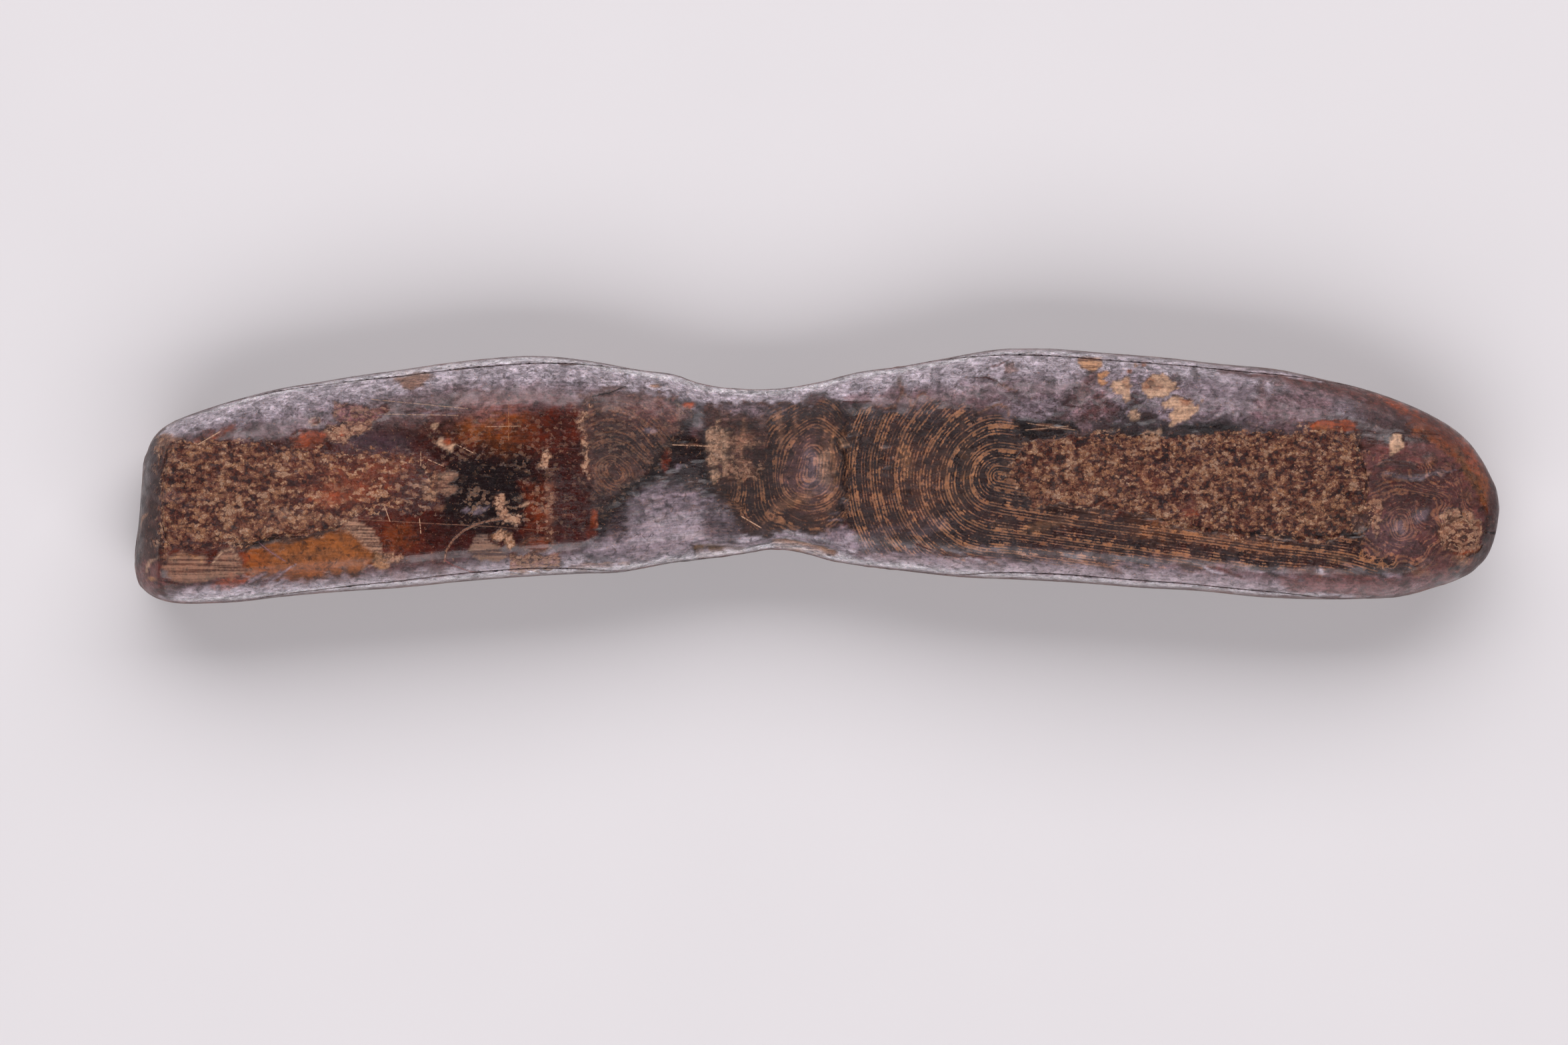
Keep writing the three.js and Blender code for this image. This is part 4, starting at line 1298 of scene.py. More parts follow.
RIGHT_WING = (
    # stains of the lower band
    Mark(Patch(((1520, 756), (1560, 770), (1700, 772), (1860, 806), (2040, 812), (2140, 836),
        (2120, 866), (2000, 862), (1900, 852), (1720, 836), (1560, 826), (1512, 800)), 15, 6, 20),
        OXBLOOD, 0.97, layers={DENTS: 0.2, DULL: 0.2}),
    Mark(Patch(((1690, 764), (1760, 772), (1860, 806), (1960, 816), (1950, 832), (1820, 828),
        (1700, 812)), 31, 7, 22), HONEY, 0.45),
    Mark(Patch(((1560, 776), (1640, 760), (1700, 762), (1690, 800), (1600, 806)), 31, 7, 22), TAN, 0.6),
    Mark(Patch(((1580, 800), (1640, 782), (1680, 766), (1690, 776), (1650, 800), (1600, 820)),
        8, 5, 12), OXBLOOD, 0.9, 0.05, {LINES: 0.3}),
    Mark(Streak(((1655, 786), (1668, 776), (1684, 768)), 8, 0.6, 2), RUSSET, 1.0, 0.05),
    Mark(Patch(((1640, 824), (1680, 820), (1720, 834), (1780, 836), (1790, 846), (1700, 846),
        (1650, 838)), 8, 5, 12), OXBLOOD, 0.9),
    Mark(Spot((1655, 827), (8, 5), 0, 0.6, 0.3), FLAME, 0.8),
    Mark(Spot((1745, 832), (10, 6), 20, 0.6, 0.3), FLAME, 0.5),
    Mark(Patch(((1760, 812), (1860, 826), (1990, 842), (2040, 856), (1980, 862), (1880, 850),
        (1770, 834)), 15, 6, 18), OXBLOOD, 0.8),
    Mark(Spot((1800, 818), (10, 7), 0, 0.6, 0.3), RUSSET, 0.9),
    Mark(Spot((1890, 812), (14, 8), 0, 0.8, 0.3), AMBER, 0.5),
    Mark(Spot((2000, 838), (14, 6), 0, 0.8, 0.3), GOLD, 0.6),
    Mark(Streak(((1968, 872), (1980, 862), (1990, 852)), 5, 0.6, 3), TAN, 0.8, 0.06),
    # Painted sheen of the lower shoulder, in mauve and pale.
    Mark(
        Streak(((1280, 838), (1400, 846), (1540, 850), (1700, 857), (1800, 863), (1950, 882),
            (2060, 888)), 46, 0.6, 7),
        MAUVE, 0.85, layers={DENTS: 0.5, DULL: 0.0},
    ),
    Mark(
        Streak(((1290, 844), (1400, 852), (1540, 858), (1700, 864), (1800, 870), (1950, 886)), 34, 0.9, 5),
        PALE, 0.45,
    ),
    *(
        Mark(
            Streak(((x, y - 12), (x + 26, y - 4), (x + 62, y + 10)), width, 0.7, 2, seed),
            stain, 0.85, layers={DENTS: 0.2},
        )
        for seed, (x, y, width, stain) in enumerate(
            (
                1290 + 30 * i,
                822 + 1.5 * i + 5 * (i % 3),
                4 + 2 * (i % 4),
                (LILAC, SOOT, LILAC, TAN, PALE, RUSSET)[i % 6],
            )
            for i in range(27)
        )
    ),
    *(
        Mark(Spot(at, half, 14, 0.8, 0.45, seed), stain, 0.75)
        for seed, (at, half, stain) in enumerate((
            ((1606, 802), (22, 9), OXBLOOD), ((1730, 796), (36, 10), HONEY),
            ((1560, 790), (30, 8), GOLD), ((1690, 822), (34, 7), BLACK),
            ((1770, 822), (30, 7), RUSSET), ((1840, 834), (34, 6), BLACK),
            ((1856, 820), (30, 6), TAN), ((1900, 846), (28, 6), BLACK),
            ((1955, 850), (26, 8), RUSSET), ((1960, 824), (34, 6), UMBER),
            ((2020, 824), (26, 6), RUSSET), ((2060, 850), (30, 6), BLACK),
            ((1640, 812), (24, 6), SOOT), ((1812, 808), (24, 6), BUFF),
        ))
    ),
    # scalloped upper shoulder, with its sheen painted in lilac
    Mark(Patch(((1590, 600), (1640, 556), (1700, 556), (1790, 580), (1800, 610), (1760, 640),
        (1640, 640), (1560, 636), (1500, 628), (1540, 606)), 31, 8, 20), LILAC, 0.55,
        layers={DENTS: 1.3}),
    *(
        Mark(Spot(at, (12, 9), turn, 0.9, 0.35, seed), OXBLOOD, 0.8, -0.22)
        for seed, (at, turn) in enumerate(
            (
                ((1600, 606), 20), ((1618, 590), 50), ((1636, 566), 30), ((1650, 600), 70),
                ((1668, 618), 20), ((1634, 622), 40), ((1660, 640), 10), ((1700, 606), 60),
                ((1586, 632), 10), ((1716, 628), 20), ((1690, 646), 0), ((1760, 572), 40),
            )
        )
    ),
    Mark(Patch(((1590, 640), (1610, 580), (1640, 560), (1660, 590), (1650, 640)), 25, 8, 20), ROSE, 0.4),
    Mark(Patch(((1520, 630), (1560, 632), (1616, 632), (1612, 648), (1580, 660), (1540, 656),
        (1518, 644)), 4, 5, 12), BLACK, 0.95, -0.15, {DENTS: 0.15}),
    Mark(Patch(((1640, 640), (1690, 628), (1760, 640), (1840, 630), (1870, 640), (1850, 652),
        (1770, 654), (1650, 656)), 10, 6, 14), SOOT, 0.9, -0.1, {DENTS: 0.5}),
    Mark(Patch(((1770, 640), (1800, 636), (1850, 640), (1846, 650), (1790, 652)), 4, 4, 12),
        BLACK, 0.95, -0.1),
    Mark(Streak(((1540, 636), (1580, 640), (1610, 646)), 1.6, 0.4, 0.6), BUFF, 0.6, -0.03),
    Mark(Streak(((1536, 646), (1566, 644), (1600, 640)), 1.6, 0.4, 0.6), BUFF, 0.5, -0.03),
    # gold chips
    Mark(Patch(((1612, 536), (1652, 537), (1650, 552), (1636, 558), (1620, 552)), 2, 1.5),
        GOLD, 1.0, -0.3, {CHIP: 1.0, DULL: 0.7, DENTS: 0}),
    Mark(Streak(((1614, 540), (1632, 539), (1650, 541)), 4, 0.5, 1), AMBER, 0.7, -0.1),
    Mark(Patch(((1645, 560), (1660, 557), (1664, 562), (1654, 568), (1656, 576), (1650, 580),
        (1644, 574)), 2, 2, 6), GOLD, 0.95, -0.12, {DULL: 0.6, DENTS: 0.2}),
    Mark(Patch(((1666, 580), (1676, 570), (1690, 569), (1696, 580), (1692, 592), (1688, 604),
        (1680, 600), (1676, 592), (1664, 590)), 2, 3, 7), CREAM, 1.0, -0.2,
        {CHIP: 0.4, SPECK: 0.3, DULL: 0.8, DENTS: 0}),
    Mark(Patch(((1680, 572), (1692, 571), (1694, 584), (1684, 582)), 3, 2), AMBER, 0.7, -0.05),
    Mark(Patch(((1710, 576), (1722, 566), (1732, 560), (1748, 566), (1764, 584), (1752, 590),
        (1744, 602), (1736, 596), (1726, 598), (1712, 590)), 2, 3, 8), CREAM, 1.0, -0.22,
        {CHIP: 0.4, SPECK: 0.4, DULL: 0.8, DENTS: 0}),
    Mark(Patch(((1710, 578), (1722, 567), (1730, 572), (1722, 584), (1712, 588)), 3, 2),
        AMBER, 0.75, -0.06),
    Mark(Spot((1734, 582), (9, 6), 20, 0.8, 0.3), BUFF, 0.8, -0.05),
    Mark(Patch(((1738, 602), (1748, 600), (1760, 592), (1776, 598), (1790, 606), (1800, 604),
        (1790, 618), (1776, 630), (1752, 638), (1750, 626), (1756, 616), (1744, 614)), 2, 3, 8),
        CREAM, 1.0, -0.2, {CHIP: 0.5, SPECK: 0.3, DULL: 0.8, DENTS: 0}),
    Mark(Patch(((1762, 596), (1784, 602), (1780, 610), (1764, 606)), 3, 2), AMBER, 0.8, -0.06),
    Mark(Patch(((1690, 622), (1700, 616), (1706, 622), (1702, 632), (1692, 632)), 2, 3, 6),
        CREAM, 0.95, -0.1, {DULL: 0.7}),
    Mark(Spot((1714, 547), (5, 5), 0, 0.4, 0.3), AMBER, 0.95, -0.1),
    Mark(Spot((1693, 558), (4, 4), 0, 0.4, 0.3), AMBER, 0.9, -0.1),
    Mark(Spot((1702, 549), (3, 4), 0, 0.4, 0.3), GOLD, 0.8, -0.1),
    Mark(Patch(((1716, 650), (1740, 648), (1734, 662), (1720, 662)), 3, 4, 7), CREAM, 0.85, 0.06,
        {SPECK: 0.5, DULL: 0.7}),
    Mark(Patch(((1852, 656), (1876, 655), (1872, 664), (1856, 665)), 2.5, 2, 6), GOLD, 0.95, 0.08,
        {DULL: 0.7}),
    Mark(Spot((1887, 658), (5, 4), 0, 0.5, 0.4), GOLD, 0.8, 0.06),
    # dents and shades of the upper shoulder beyond the chips, and its sheen painted in lilac and mauve
    Mark(Spot((1791, 562), (5, 9), 10, 0.7, 0.2), UMBER, 0.8, -0.3),
    Mark(Spot((1753, 548), (4, 6), 0, 0.7, 0.2), UMBER, 0.5, -0.2),
    Mark(Spot((1880, 562), (7, 4), 0, 0.7, 0.2), ROSE, 0.5, -0.15),
    Mark(Spot((1915, 577), (7, 4), 0, 0.7, 0.3), CHESTNUT, 0.6, -0.15),
    Mark(Patch(((1880, 590), (1890, 574), (1900, 600), (1892, 624), (1878, 610)), 8, 4, 10),
        ROSE, 0.5, -0.1),
    Mark(Patch(((1800, 560), (1870, 560), (1880, 600), (1840, 622), (1800, 606)), 37, 6, 20),
        LILAC, 0.5, layers={DENTS: 0.5}),
    Mark(Patch(((1880, 600), (1960, 580), (2000, 600), (1990, 640), (1920, 648), (1880, 632)),
        25, 7, 16), MAUVE, 0.7, layers={DENTS: 0.9}),
    # orange window and the amber streaks after it
    Mark(Patch(((1960, 640), (1980, 630), (2000, 629), (2033, 632), (2032, 648), (1990, 651),
        (1962, 649)), 3, 3, 8), FLAME, 1.0, -0.1, {DENTS: 0, DULL: 1.0}),
    Mark(Spot((1982, 643), (13, 6), 0, 0.8, 0.2), HONEY, 0.6),
    Mark(Spot((2018, 640), (11, 7), 0, 0.8, 0.2), FLAME, 0.6),
    Mark(Patch(((2033, 600), (2060, 596), (2100, 620), (2150, 640), (2150, 656), (2090, 648),
        (2034, 646)), 15, 7, 14), OXBLOOD, 0.75, layers={DENTS: 0.5}),
    Mark(Patch(((2076, 600), (2096, 604), (2106, 612), (2090, 616), (2078, 610)), 3, 3, 8), RUSSET, 0.9),
    Mark(Spot((2094, 608), (6, 4), 0, 0.5, 0.2), BUFF, 0.8, 0.05),
    Mark(Streak(((2020, 650), (2060, 651), (2110, 649), (2156, 653)), 2.6, 0.4, 1), UMBER, 0.9, -0.12),
)

TIP = (
    Mark(Patch(((2040, 670), (2100, 660), (2160, 660), (2200, 700), (2230, 780), (2200, 850),
        (2140, 860), (2050, 830), (2036, 760)), 20, 6, 18), ROSE, 0.75, layers={DENTS: 0.4, DULL: 0.3}),
    Mark(Patch(((2060, 700), (2120, 690), (2160, 710), (2160, 760), (2100, 766), (2056, 740)),
        31, 7, 20), OXBLOOD, 0.55),
    Mark(Patch(((2046, 770), (2110, 772), (2120, 830), (2060, 830), (2040, 800)), 25, 7, 20), MAUVE, 0.6),
    Mark(Patch(((2120, 622), (2180, 646), (2224, 700), (2240, 760), (2230, 776), (2212, 740),
        (2186, 696), (2150, 668), (2110, 648)), 10, 4, 12), AMBER, 0.75, layers={DENTS: 0.2}),
    Mark(Patch(((2180, 664), (2216, 700), (2228, 750), (2214, 744), (2190, 704)), 10, 4, 12), OLIVE, 0.55),
    Mark(Streak(((2150, 640), (2190, 662), (2222, 704), (2240, 752)), 8, 0.8, 1), FLAME, 0.7),
    Mark(Patch(((2226, 730), (2250, 740), (2250, 810), (2230, 830), (2226, 790)), 8, 3), OXBLOOD, 0.9,
        layers={DULL: 0.4}),
    Mark(Streak(beside(UPPER_EDGE, -11, -1, 9, -5), 26, 0.9, 3), RUSSET, 0.9, layers={DULL: 0.7}),
    Mark(Streak(((2232, 706), (2246, 760), (2246, 806), (2226, 842), (2190, 866)), 20, 0.9, 3),
        OXBLOOD, 0.9, layers={DULL: 0.7}),
    Mark(Spot((2100, 612), (34, 7), -26, 0.9, 0.3), FLAME, 0.8),
    Mark(Spot((2206, 690), (9, 32), 24, 0.9, 0.3), FLAME, 0.7),
    Mark(Spot((2224, 728), (8, 22), 14, 0.9, 0.3), AMBER, 0.7),
    # cream chip past the core, and crumbs of its broken end
    Mark(Patch(((2078, 664), (2084, 653), (2098, 652), (2102, 668), (2094, 680), (2082, 683)),
        2, 2, 7), CREAM, 1.0, 0.12, {DULL: 0.7, SPECK: 0.2, DENTS: 0}),
    Mark(Patch(((2031, 716), (2044, 706), (2052, 712), (2044, 728), (2038, 740), (2030, 734)),
        3, 3, 7), BUFF, 0.9, 0.08, {DULL: 0.7, SPECK: 0.5}),
    Mark(Patch(((2026, 742), (2044, 736), (2058, 740), (2050, 752), (2030, 754)), 4, 4, 8),
        ROSE, 0.9, 0.05),
    Mark(Patch(((2052, 752), (2066, 748), (2070, 790), (2060, 808), (2050, 790)), 4, 5, 8),
        TAN, 0.6, 0.05, {SPECK: 0.6}),
    # ridges of the swirled part
    Mark(Streak(((2066, 712), (2090, 718), (2120, 720), (2150, 712), (2180, 704)), 6, 0.6, 4),
        LILAC, 0.8, 0.2),
    Mark(Streak(((2058, 700), (2080, 694), (2110, 698), (2120, 706)), 8, 0.7, 4), TAUPE, 0.8, 0.15),
    Mark(Spot((2140, 690), (10, 8), 20, 0.7, 0.3), TAN, 0.7, 0.12),
    Mark(Spot((2094, 792), (12, 12), 0, 0.9, 0.2), LILAC, 0.5, 0.1),
    Mark(Spot((2126, 774), (13, 9), 20, 0.9, 0.2), LILAC, 0.7, 0.12),
    Mark(Spot((2196, 744), (10, 8), 0, 0.8, 0.4), TAN, 0.6, 0.05),
    # rim of the pit that holds the nodule
    Mark(Patch(((2150, 800), (2160, 784), (2186, 776), (2214, 782), (2222, 800), (2216, 824),
        (2190, 834), (2164, 828)), 3, 4, 10), TAN, 0.9, -0.3, {SPECK: 0.6, DULL: 0.7}),
    Mark(Patch(((2150, 770), (2180, 764), (2200, 770), (2212, 786), (2186, 780), (2160, 790)),
        4, 5, 9), BUFF, 0.85, 0.12, {SPECK: 0.6, DULL: 0.7}),
    Mark(Streak(((2170, 828), (2190, 831), (2212, 824)), 5, 0.6, 2), FLAME, 0.8),
    Mark(Patch(((2176, 836), (2196, 832), (2200, 842), (2184, 848)), 4, 4, 8), BUFF, 0.7,
        layers={CHIP: 0.4}),
    Mark(Streak(((2229, 798), (2236, 800), (2244, 800)), 2, 0.4), BLACK, 1.0, -0.15),
    # barred lower shoulder
    Mark(Patch(((1920, 862), (2040, 862), (2130, 866), (2170, 858), (2190, 870), (2100, 900),
        (1930, 900)), 15, 6, 14), ROSE, 0.7, layers={DENTS: 0.4}),
    Mark(Streak(((1942, 866), (1938, 882), (1944, 894)), 12, 0.8, 3), RUSSET, 0.6),
    Mark(Streak(((2040, 866), (2042, 880), (2040, 892)), 12, 0.8, 3), OXBLOOD, 0.6),
    Mark(Streak(((2108, 862), (2104, 876), (2110, 888)), 12, 0.8, 3), OXBLOOD, 0.6),
    Mark(Spot((2128, 856), (14, 8), 0, 0.9, 0.4), TAN, 0.5, layers={CHIP: 0.3}),
)

# Painted highlights: pale and white lines along the upper and lower edges, and a lilac line along the rim
# over the broken scars, stand for the glint of the lights on the edges; the russet streak is a shallow
# dent.
RIMS_WITH_HIGHLIGHTS = (
    Mark(Streak(beside(UPPER_EDGE, 7, -8, 6), 12, 0.8, 3), PALE, 0.8),
    Mark(Streak(beside(UPPER_EDGE, 9, -12, 6), 7, 0.6, 1.5), WHITE, 0.9),
    Mark(Streak(beside(LOWER_EDGE, 5, -7, -6), 12, 0.8, 3), PALE, 0.8),
    Mark(Streak(beside(LOWER_EDGE, 6, -8, -6), 7, 0.6, 1.5), WHITE, 0.9),
    Mark(Streak(((1016, 838), (1040, 817), (1060, 814), (1118, 819), (1150, 812), (1164, 806),
        (1178, 802), (1212, 812), (1250, 820), (1300, 842)), 7, 0.6, 1), LILAC, 0.9, 0.25, {DULL: 0.1}),
    Mark(Streak(((840, 548), (852, 548), (870, 546)), 4, 0.5, 1), RUSSET, 0.9, -0.1),
)

GROWTH_LINES = (
    Growth(
        Patch(
            ((1264, 640), (1300, 606), (1340, 618), (1400, 606), (1500, 620), (1524, 640), (1530, 700),
                (1560, 752), (1700, 770), (1860, 806), (2044, 806), (2150, 838), (2110, 860),
                (1900, 852), (1700, 850), (1500, 842), (1300, 826), (1262, 780)),
            10, 6, 16,
        ),
        ((1495, 714), (2100, 808)), 4.5, 1.0, 1.0, 1.6, 110,
    ),
    Growth(
        Patch(((1150, 612), (1256, 606), (1262, 700), (1262, 790), (1180, 800), (1100, 780),
            (1080, 732), (1150, 712)), 24, 7),
        ((1216, 690), (1216, 712)), 4.6, 0.7, 0.85, 2.2, 44,
    ),
    Growth(
        Patch(((886, 620), (940, 600), (1010, 620), (1000, 670), (960, 716), (900, 750), (884, 720)),
            31, 6),
        ((917, 700), (926, 712)), 5.0, 0.4, 1.0, 1.8, 60,
    ),
    Growth(
        Patch(((2040, 700), (2080, 690), (2160, 700), (2210, 740), (2200, 850), (2110, 850),
            (2040, 820)), 31, 8),
        ((2094, 790), (2094, 792)), 6.5, 0.6, 1.0, 2.4, 25,
    ),
    Growth(
        Patch(((900, 790), (948, 738), (996, 716), (1050, 716), (1104, 776), (1108, 806), (1010, 832),
            (930, 840)), 31, 6),
        ((900, 1010), (1100, 930)), 5.2, 0.16, 1.0, 3.2, 80,
    ),
)

MARKS = (
    *SHOULDER_SHEEN,
    *LEFT_END,
    *LEFT_WING,
    *LEFT_SCRATCHES,
    *WAIST_LEFT,
    *SEAT,
    *FIELD,
    *RIGHT_WING,
    *TIP,
)


@dataclass(frozen=True)
class CoreBed(Area):
    """Where a core lies bare: its upper and lower edge as pixel columns and rows."""

    upper: Points
    lower: Points
    ragged: float = 4.0
    lump: float = 15.0
    round_end: float = 16.0
    seed: int = 31

    def box(self) -> tuple[float, float, float, float]:
        """Least and greatest column, then least and greatest row, that it may reach."""
        rows = [row for _, row in (*self.upper, *self.lower)]
        return self.upper[0][0], self.upper[-1][0], min(rows) - 12, max(rows) + 12

    def chord(self, u: Array) -> tuple[Array, Array]:
        """Row of the upper and of the lower edge at pixel columns.

        Args:
            u: Pixel columns of the places.

        Returns:
            The upper edge's rows, then the lower edge's.
        """
        start, end = self.upper[0][0], self.upper[-1][0]
        from_end = np.clip(np.minimum(u - start, end - u) / self.round_end, 0, 1)
        share = np.sqrt(1 - (1 - from_end) ** 2)
        high, low = curve_through(self.upper, u), curve_through(self.lower, u)
        noise = Noise(self.seed)
        high = high + self.ragged * noise.rough(3, u / self.lump, np.zeros(u.shape))
        low = low + self.ragged * noise.rough(3, u / self.lump, np.full(u.shape, 40.0))
        middle = (high + low) / 2
        return middle + (high - middle) * share, middle + (low - middle) * share

    def inward(self, u: Array, v: Array) -> Array:
        """How many pixels inside the bed each place lies, below 0 outside it.

        Args:
            u: Pixel columns of the places.
            v: Their pixel rows.

        Returns:
            The distance of each place.
        """
        high, low = self.chord(u)
        ends = np.minimum(u - self.upper[0][0], self.upper[-1][0] - u)
        return np.minimum(np.minimum(v - high, low - v), ends)

    def mask(self, u: Array, v: Array) -> Array:
        """How much each place is in the bed, from 0 to 1."""
        return ramp(self.inward(u, v), -1.0, 3.0)


LEFT_BED = CoreBed(
    ((247, 664), (300, 664), (360, 666), (410, 669), (448, 679), (520, 682), (586, 685), (650, 712)),
    ((247, 822), (300, 822), (348, 817), (420, 806), (509, 792), (536, 772), (585, 756), (650, 738)),
)
RIGHT_BED = CoreBed(
    (
        (1514, 690), (1540, 668), (1580, 658), (1640, 657), (1760, 653), (1880, 651), (1960, 650),
        (2020, 656), (2048, 700),
    ),
    (
        (1514, 712), (1540, 744), (1600, 758), (1697, 768), (1788, 794), (1899, 803), (1991, 808),
        (2020, 800), (2048, 770),
    ),
    round_end=26,
    seed=32,
)

CORES = (
    Mark(Patch((*LEFT_BED.upper, *LEFT_BED.lower[::-1]), 26, 12, 18), layers={GRAIN: 0.55, DULL: 0.5}),
    Mark(Patch((*RIGHT_BED.upper, *RIGHT_BED.lower[::-1]), 26, 12, 18), layers={GRAIN: 0.55, DULL: 0.5}),
    Mark(LEFT_BED, RUSSET, 0.95, layers={GRAIN: 1.0, DULL: 0.4, DENTS: 0.3, LINES: 0.0}),
    Mark(
        Patch(((430, 690), (640, 690), (650, 740), (560, 760), (520, 776), (440, 776)), 69, 10, 24),
        RUSSET, 0.95, layers={GRAIN: 0.5, DULL: 0.3},
    ),
    Mark(Spot((520, 742), (46, 17), 8, 0.9, 0.3), FLAME, 1.0, layers={GRAIN: 0.2}),
    Mark(Spot((560, 716), (76, 26), 0, 1.0, 0.3), FLAME, 0.65, layers={GRAIN: 0.32, DULL: 0.2}),
    Mark(Spot((620, 730), (36, 28), 0, 1.0, 0.3), OXBLOOD, 0.7, layers={GRAIN: 0.2, DULL: 0.1}),
    Mark(
        Patch(((333, 790), (400, 770), (460, 768), (506, 778), (500, 792), (420, 802), (340, 812)), 20, 5),
        BUFF, 0.75, 0.08,
    ),
    Mark(Spot((300, 690), (40, 20), 0, 1.0, 0.4), BUFF, 0.4),
    Mark(Spot((264, 748), (20, 14), 0, 0.8, 0.3), LILAC, 0.6, 0.1),
    Mark(Spot((400, 710), (30, 16), 0, 1.0, 0.4), BUFF, 0.5),
    Mark(Spot((410, 724), (50, 20), 0, 1.0, 0.4), RUSSET, 0.5),
    Mark(Spot((270, 700), (26, 18), 0, 1.0, 0.4), UMBER, 0.5),
    Mark(Spot((330, 740), (50, 14), -10, 1.0, 0.4), RUSSET, 0.7, -0.1),
    Mark(Spot((300, 800), (44, 12), -6, 1.0, 0.4), RUSSET, 0.6, -0.1),
    Mark(Spot((428, 770), (14, 8), 0, 0.8, 0.4), CREAM, 0.7, 0.1),
    Mark(Streak(((250, 757), (268, 760), (290, 752)), 5, 0.6, 2), UMBER, 0.8, -0.2),
    Mark(RIGHT_BED, OXBLOOD, 0.95, layers={GRAIN: 0.95, DULL: 0.4, DENTS: 0.4, LINES: 0.0}),
    Mark(Patch(((1530, 700), (1700, 680), (1700, 760), (1560, 750)), 83, 12, 24), BUFF, 0.45),
    Mark(Spot((1725, 712), (50, 26), 0, 1.0, 0.35), OXBLOOD, 0.85, layers={GRAIN: 0.6, DULL: 0.45}),
    Mark(Spot((1720, 718), (22, 16), 0, 0.9, 0.35), FLAME, 0.45),
    Mark(Spot((1780, 764), (22, 12), 0, 0.8, 0.3), RUSSET, 0.9, layers={GRAIN: 0.2, DULL: 0.15}),
    Mark(Spot((1782, 770), (12, 6), 0, 0.8, 0.3), FLAME, 0.7),
    Mark(Spot((1820, 686), (60, 22), 0, 1.0, 0.4), OXBLOOD, 0.55),
    Mark(Spot((1980, 700), (50, 30), 0, 1.0, 0.4), OXBLOOD, 0.5),
    Mark(Spot((1940, 676), (40, 12), 0, 1.0, 0.4), TAN, 0.6),
    Mark(Spot((1880, 740), (60, 34), 0, 1.0, 0.4), TAN, 0.35),
    Mark(Spot((1990, 776), (50, 26), 0, 1.0, 0.3), OLIVE, 0.7),
    Mark(Spot((1830, 766), (10, 12), 0, 0.9, 0.3), BLACK, 0.8, -0.3),
    Mark(Spot((1990, 788), (12, 9), 0, 0.9, 0.3), BLACK, 0.6, -0.2),
    Mark(Spot((2020, 745), (8, 5), 0, 0.8, 0.3), BLACK, 0.9, -0.3),
    Mark(Spot((2030, 764), (16, 8), -20, 0.7, 0.4), GOLD, 0.6, 0.08),
    Mark(Spot((2034, 784), (16, 12), 0, 0.8, 0.3), TAUPE, 0.9, 0.25, {GRAIN: 0.2, DENTS: 0.6}),
    Mark(
        Streak(
            ((1700, 771), (1760, 786), (1800, 795), (1850, 797), (1899, 804), (1960, 806), (1991, 808),
                (2006, 801)),
            4.5, 0.5, 2.5,
        ),
        BLACK, 0.95, -0.3, {DULL: 1.0},
    ),
    Mark(Streak(((2006, 801), (2018, 806), (2036, 802), (2046, 794), (2050, 776)), 4, 0.5, 1.5),
        BLACK, 0.7, -0.2),
    Mark(Streak(((1640, 658), (1700, 654), (1760, 656)), 5, 0.6, 2), BLACK, 0.6, -0.15),
    Mark(Streak(((1700, 771), (1740, 782), (1790, 792)), 4, 0.5, 2), BUFF, 0.4, 0.05),
)


@dataclass(frozen=True)
class Wear:
    """Relief that covers whole areas of the face, with its heights and depths in millimetres."""

    swell: float = 0.10
    dent: float = 0.16
    facet: float = 0.05
    pit: float = 0.025
    ripple: float = 0.05
    ridge: float = 0.035
    clump: float = 0.12
    knob: float = 0.30
    sunk: float = 0.14
    crumb: float = 0.16

    def relief(self, canvas: Canvas) -> Array:
        """Height of dents, ripples and grains.

        Args:
            canvas: The canvas with its layers painted.

        Returns:
            The height at each of its places, in millimetres.
        """
        u, v = canvas.u, canvas.v
        noise = Noise(5)
        dents, grain, ripple, lines, speck = (
            canvas.layers[layer] for layer in (DENTS, GRAIN, RIPPLE, LINES, SPECK)
        )
        height = self.swell * (0.35 + dents) * noise.rough(3, u / 52, v / 44)
        near, _, own = noise.cells(u / 25 + 0.25 * noise.smooth(u / 20, v / 20), v / 20)
        height -= self.dent * dents * ramp(near, 0.62, 0.1) * ramp(own, 0.35, 0.9)
        near, second, _ = noise.cells(u / 11 + 0.3 * noise.smooth(u / 9, v / 9), v / 12 + 31)
        height += self.facet * dents * (ramp(second - near, 0.0, 0.35) - 0.7)
        height += self.pit * (0.2 + dents) * noise.rough(2, u / 11, v / 8)
        height += self.ripple * ripple * noise.rough(2, (u + v * 0.4) / 34, (v - u * 0.15) / 7)
        height += self.ridge * lines * noise.rough(2, u / 7, v / 7)
        clump = noise.rough(3, u / 17 + 7, v / 14)
        near, _, own = noise.cells(u / 5.6 + 0.4 * noise.smooth(u / 5, v / 5), v / 5.0)
        knob = np.clip(1 - near * 1.35, 0, 1) * (0.35 + 0.9 * own)
        height += grain * (self.clump * clump + self.knob * knob - self.sunk)
        height += self.crumb * speck * knob
        return height


def painted(u: Array, v: Array) -> Canvas:
    """The carved face with all its marks and its relief.

    Args:
        u: Pixel columns of the places wanted.
        v: Their pixel rows.

    Returns:
        The canvas there.
    """
    canvas = Canvas(u, v)
    for mark in (*MARKS, *CORES, *RIMS_WITH_HIGHLIGHTS):
        mark.lay(canvas)
    for lines in GROWTH_LINES:
        lines.lay(canvas)
    canvas.layers[LINES] *= 1 - canvas.layers[GRAIN]
    canvas.rise += Wear().relief(canvas)
    return canvas


def painted_on(rings: Array) -> Canvas:
    """The carved face with its marks, at the points of rings in millimetres."""
    return painted(PHOTO.px(rings[..., 0]).ravel(), PHOTO.py(rings[..., 1]).ravel())


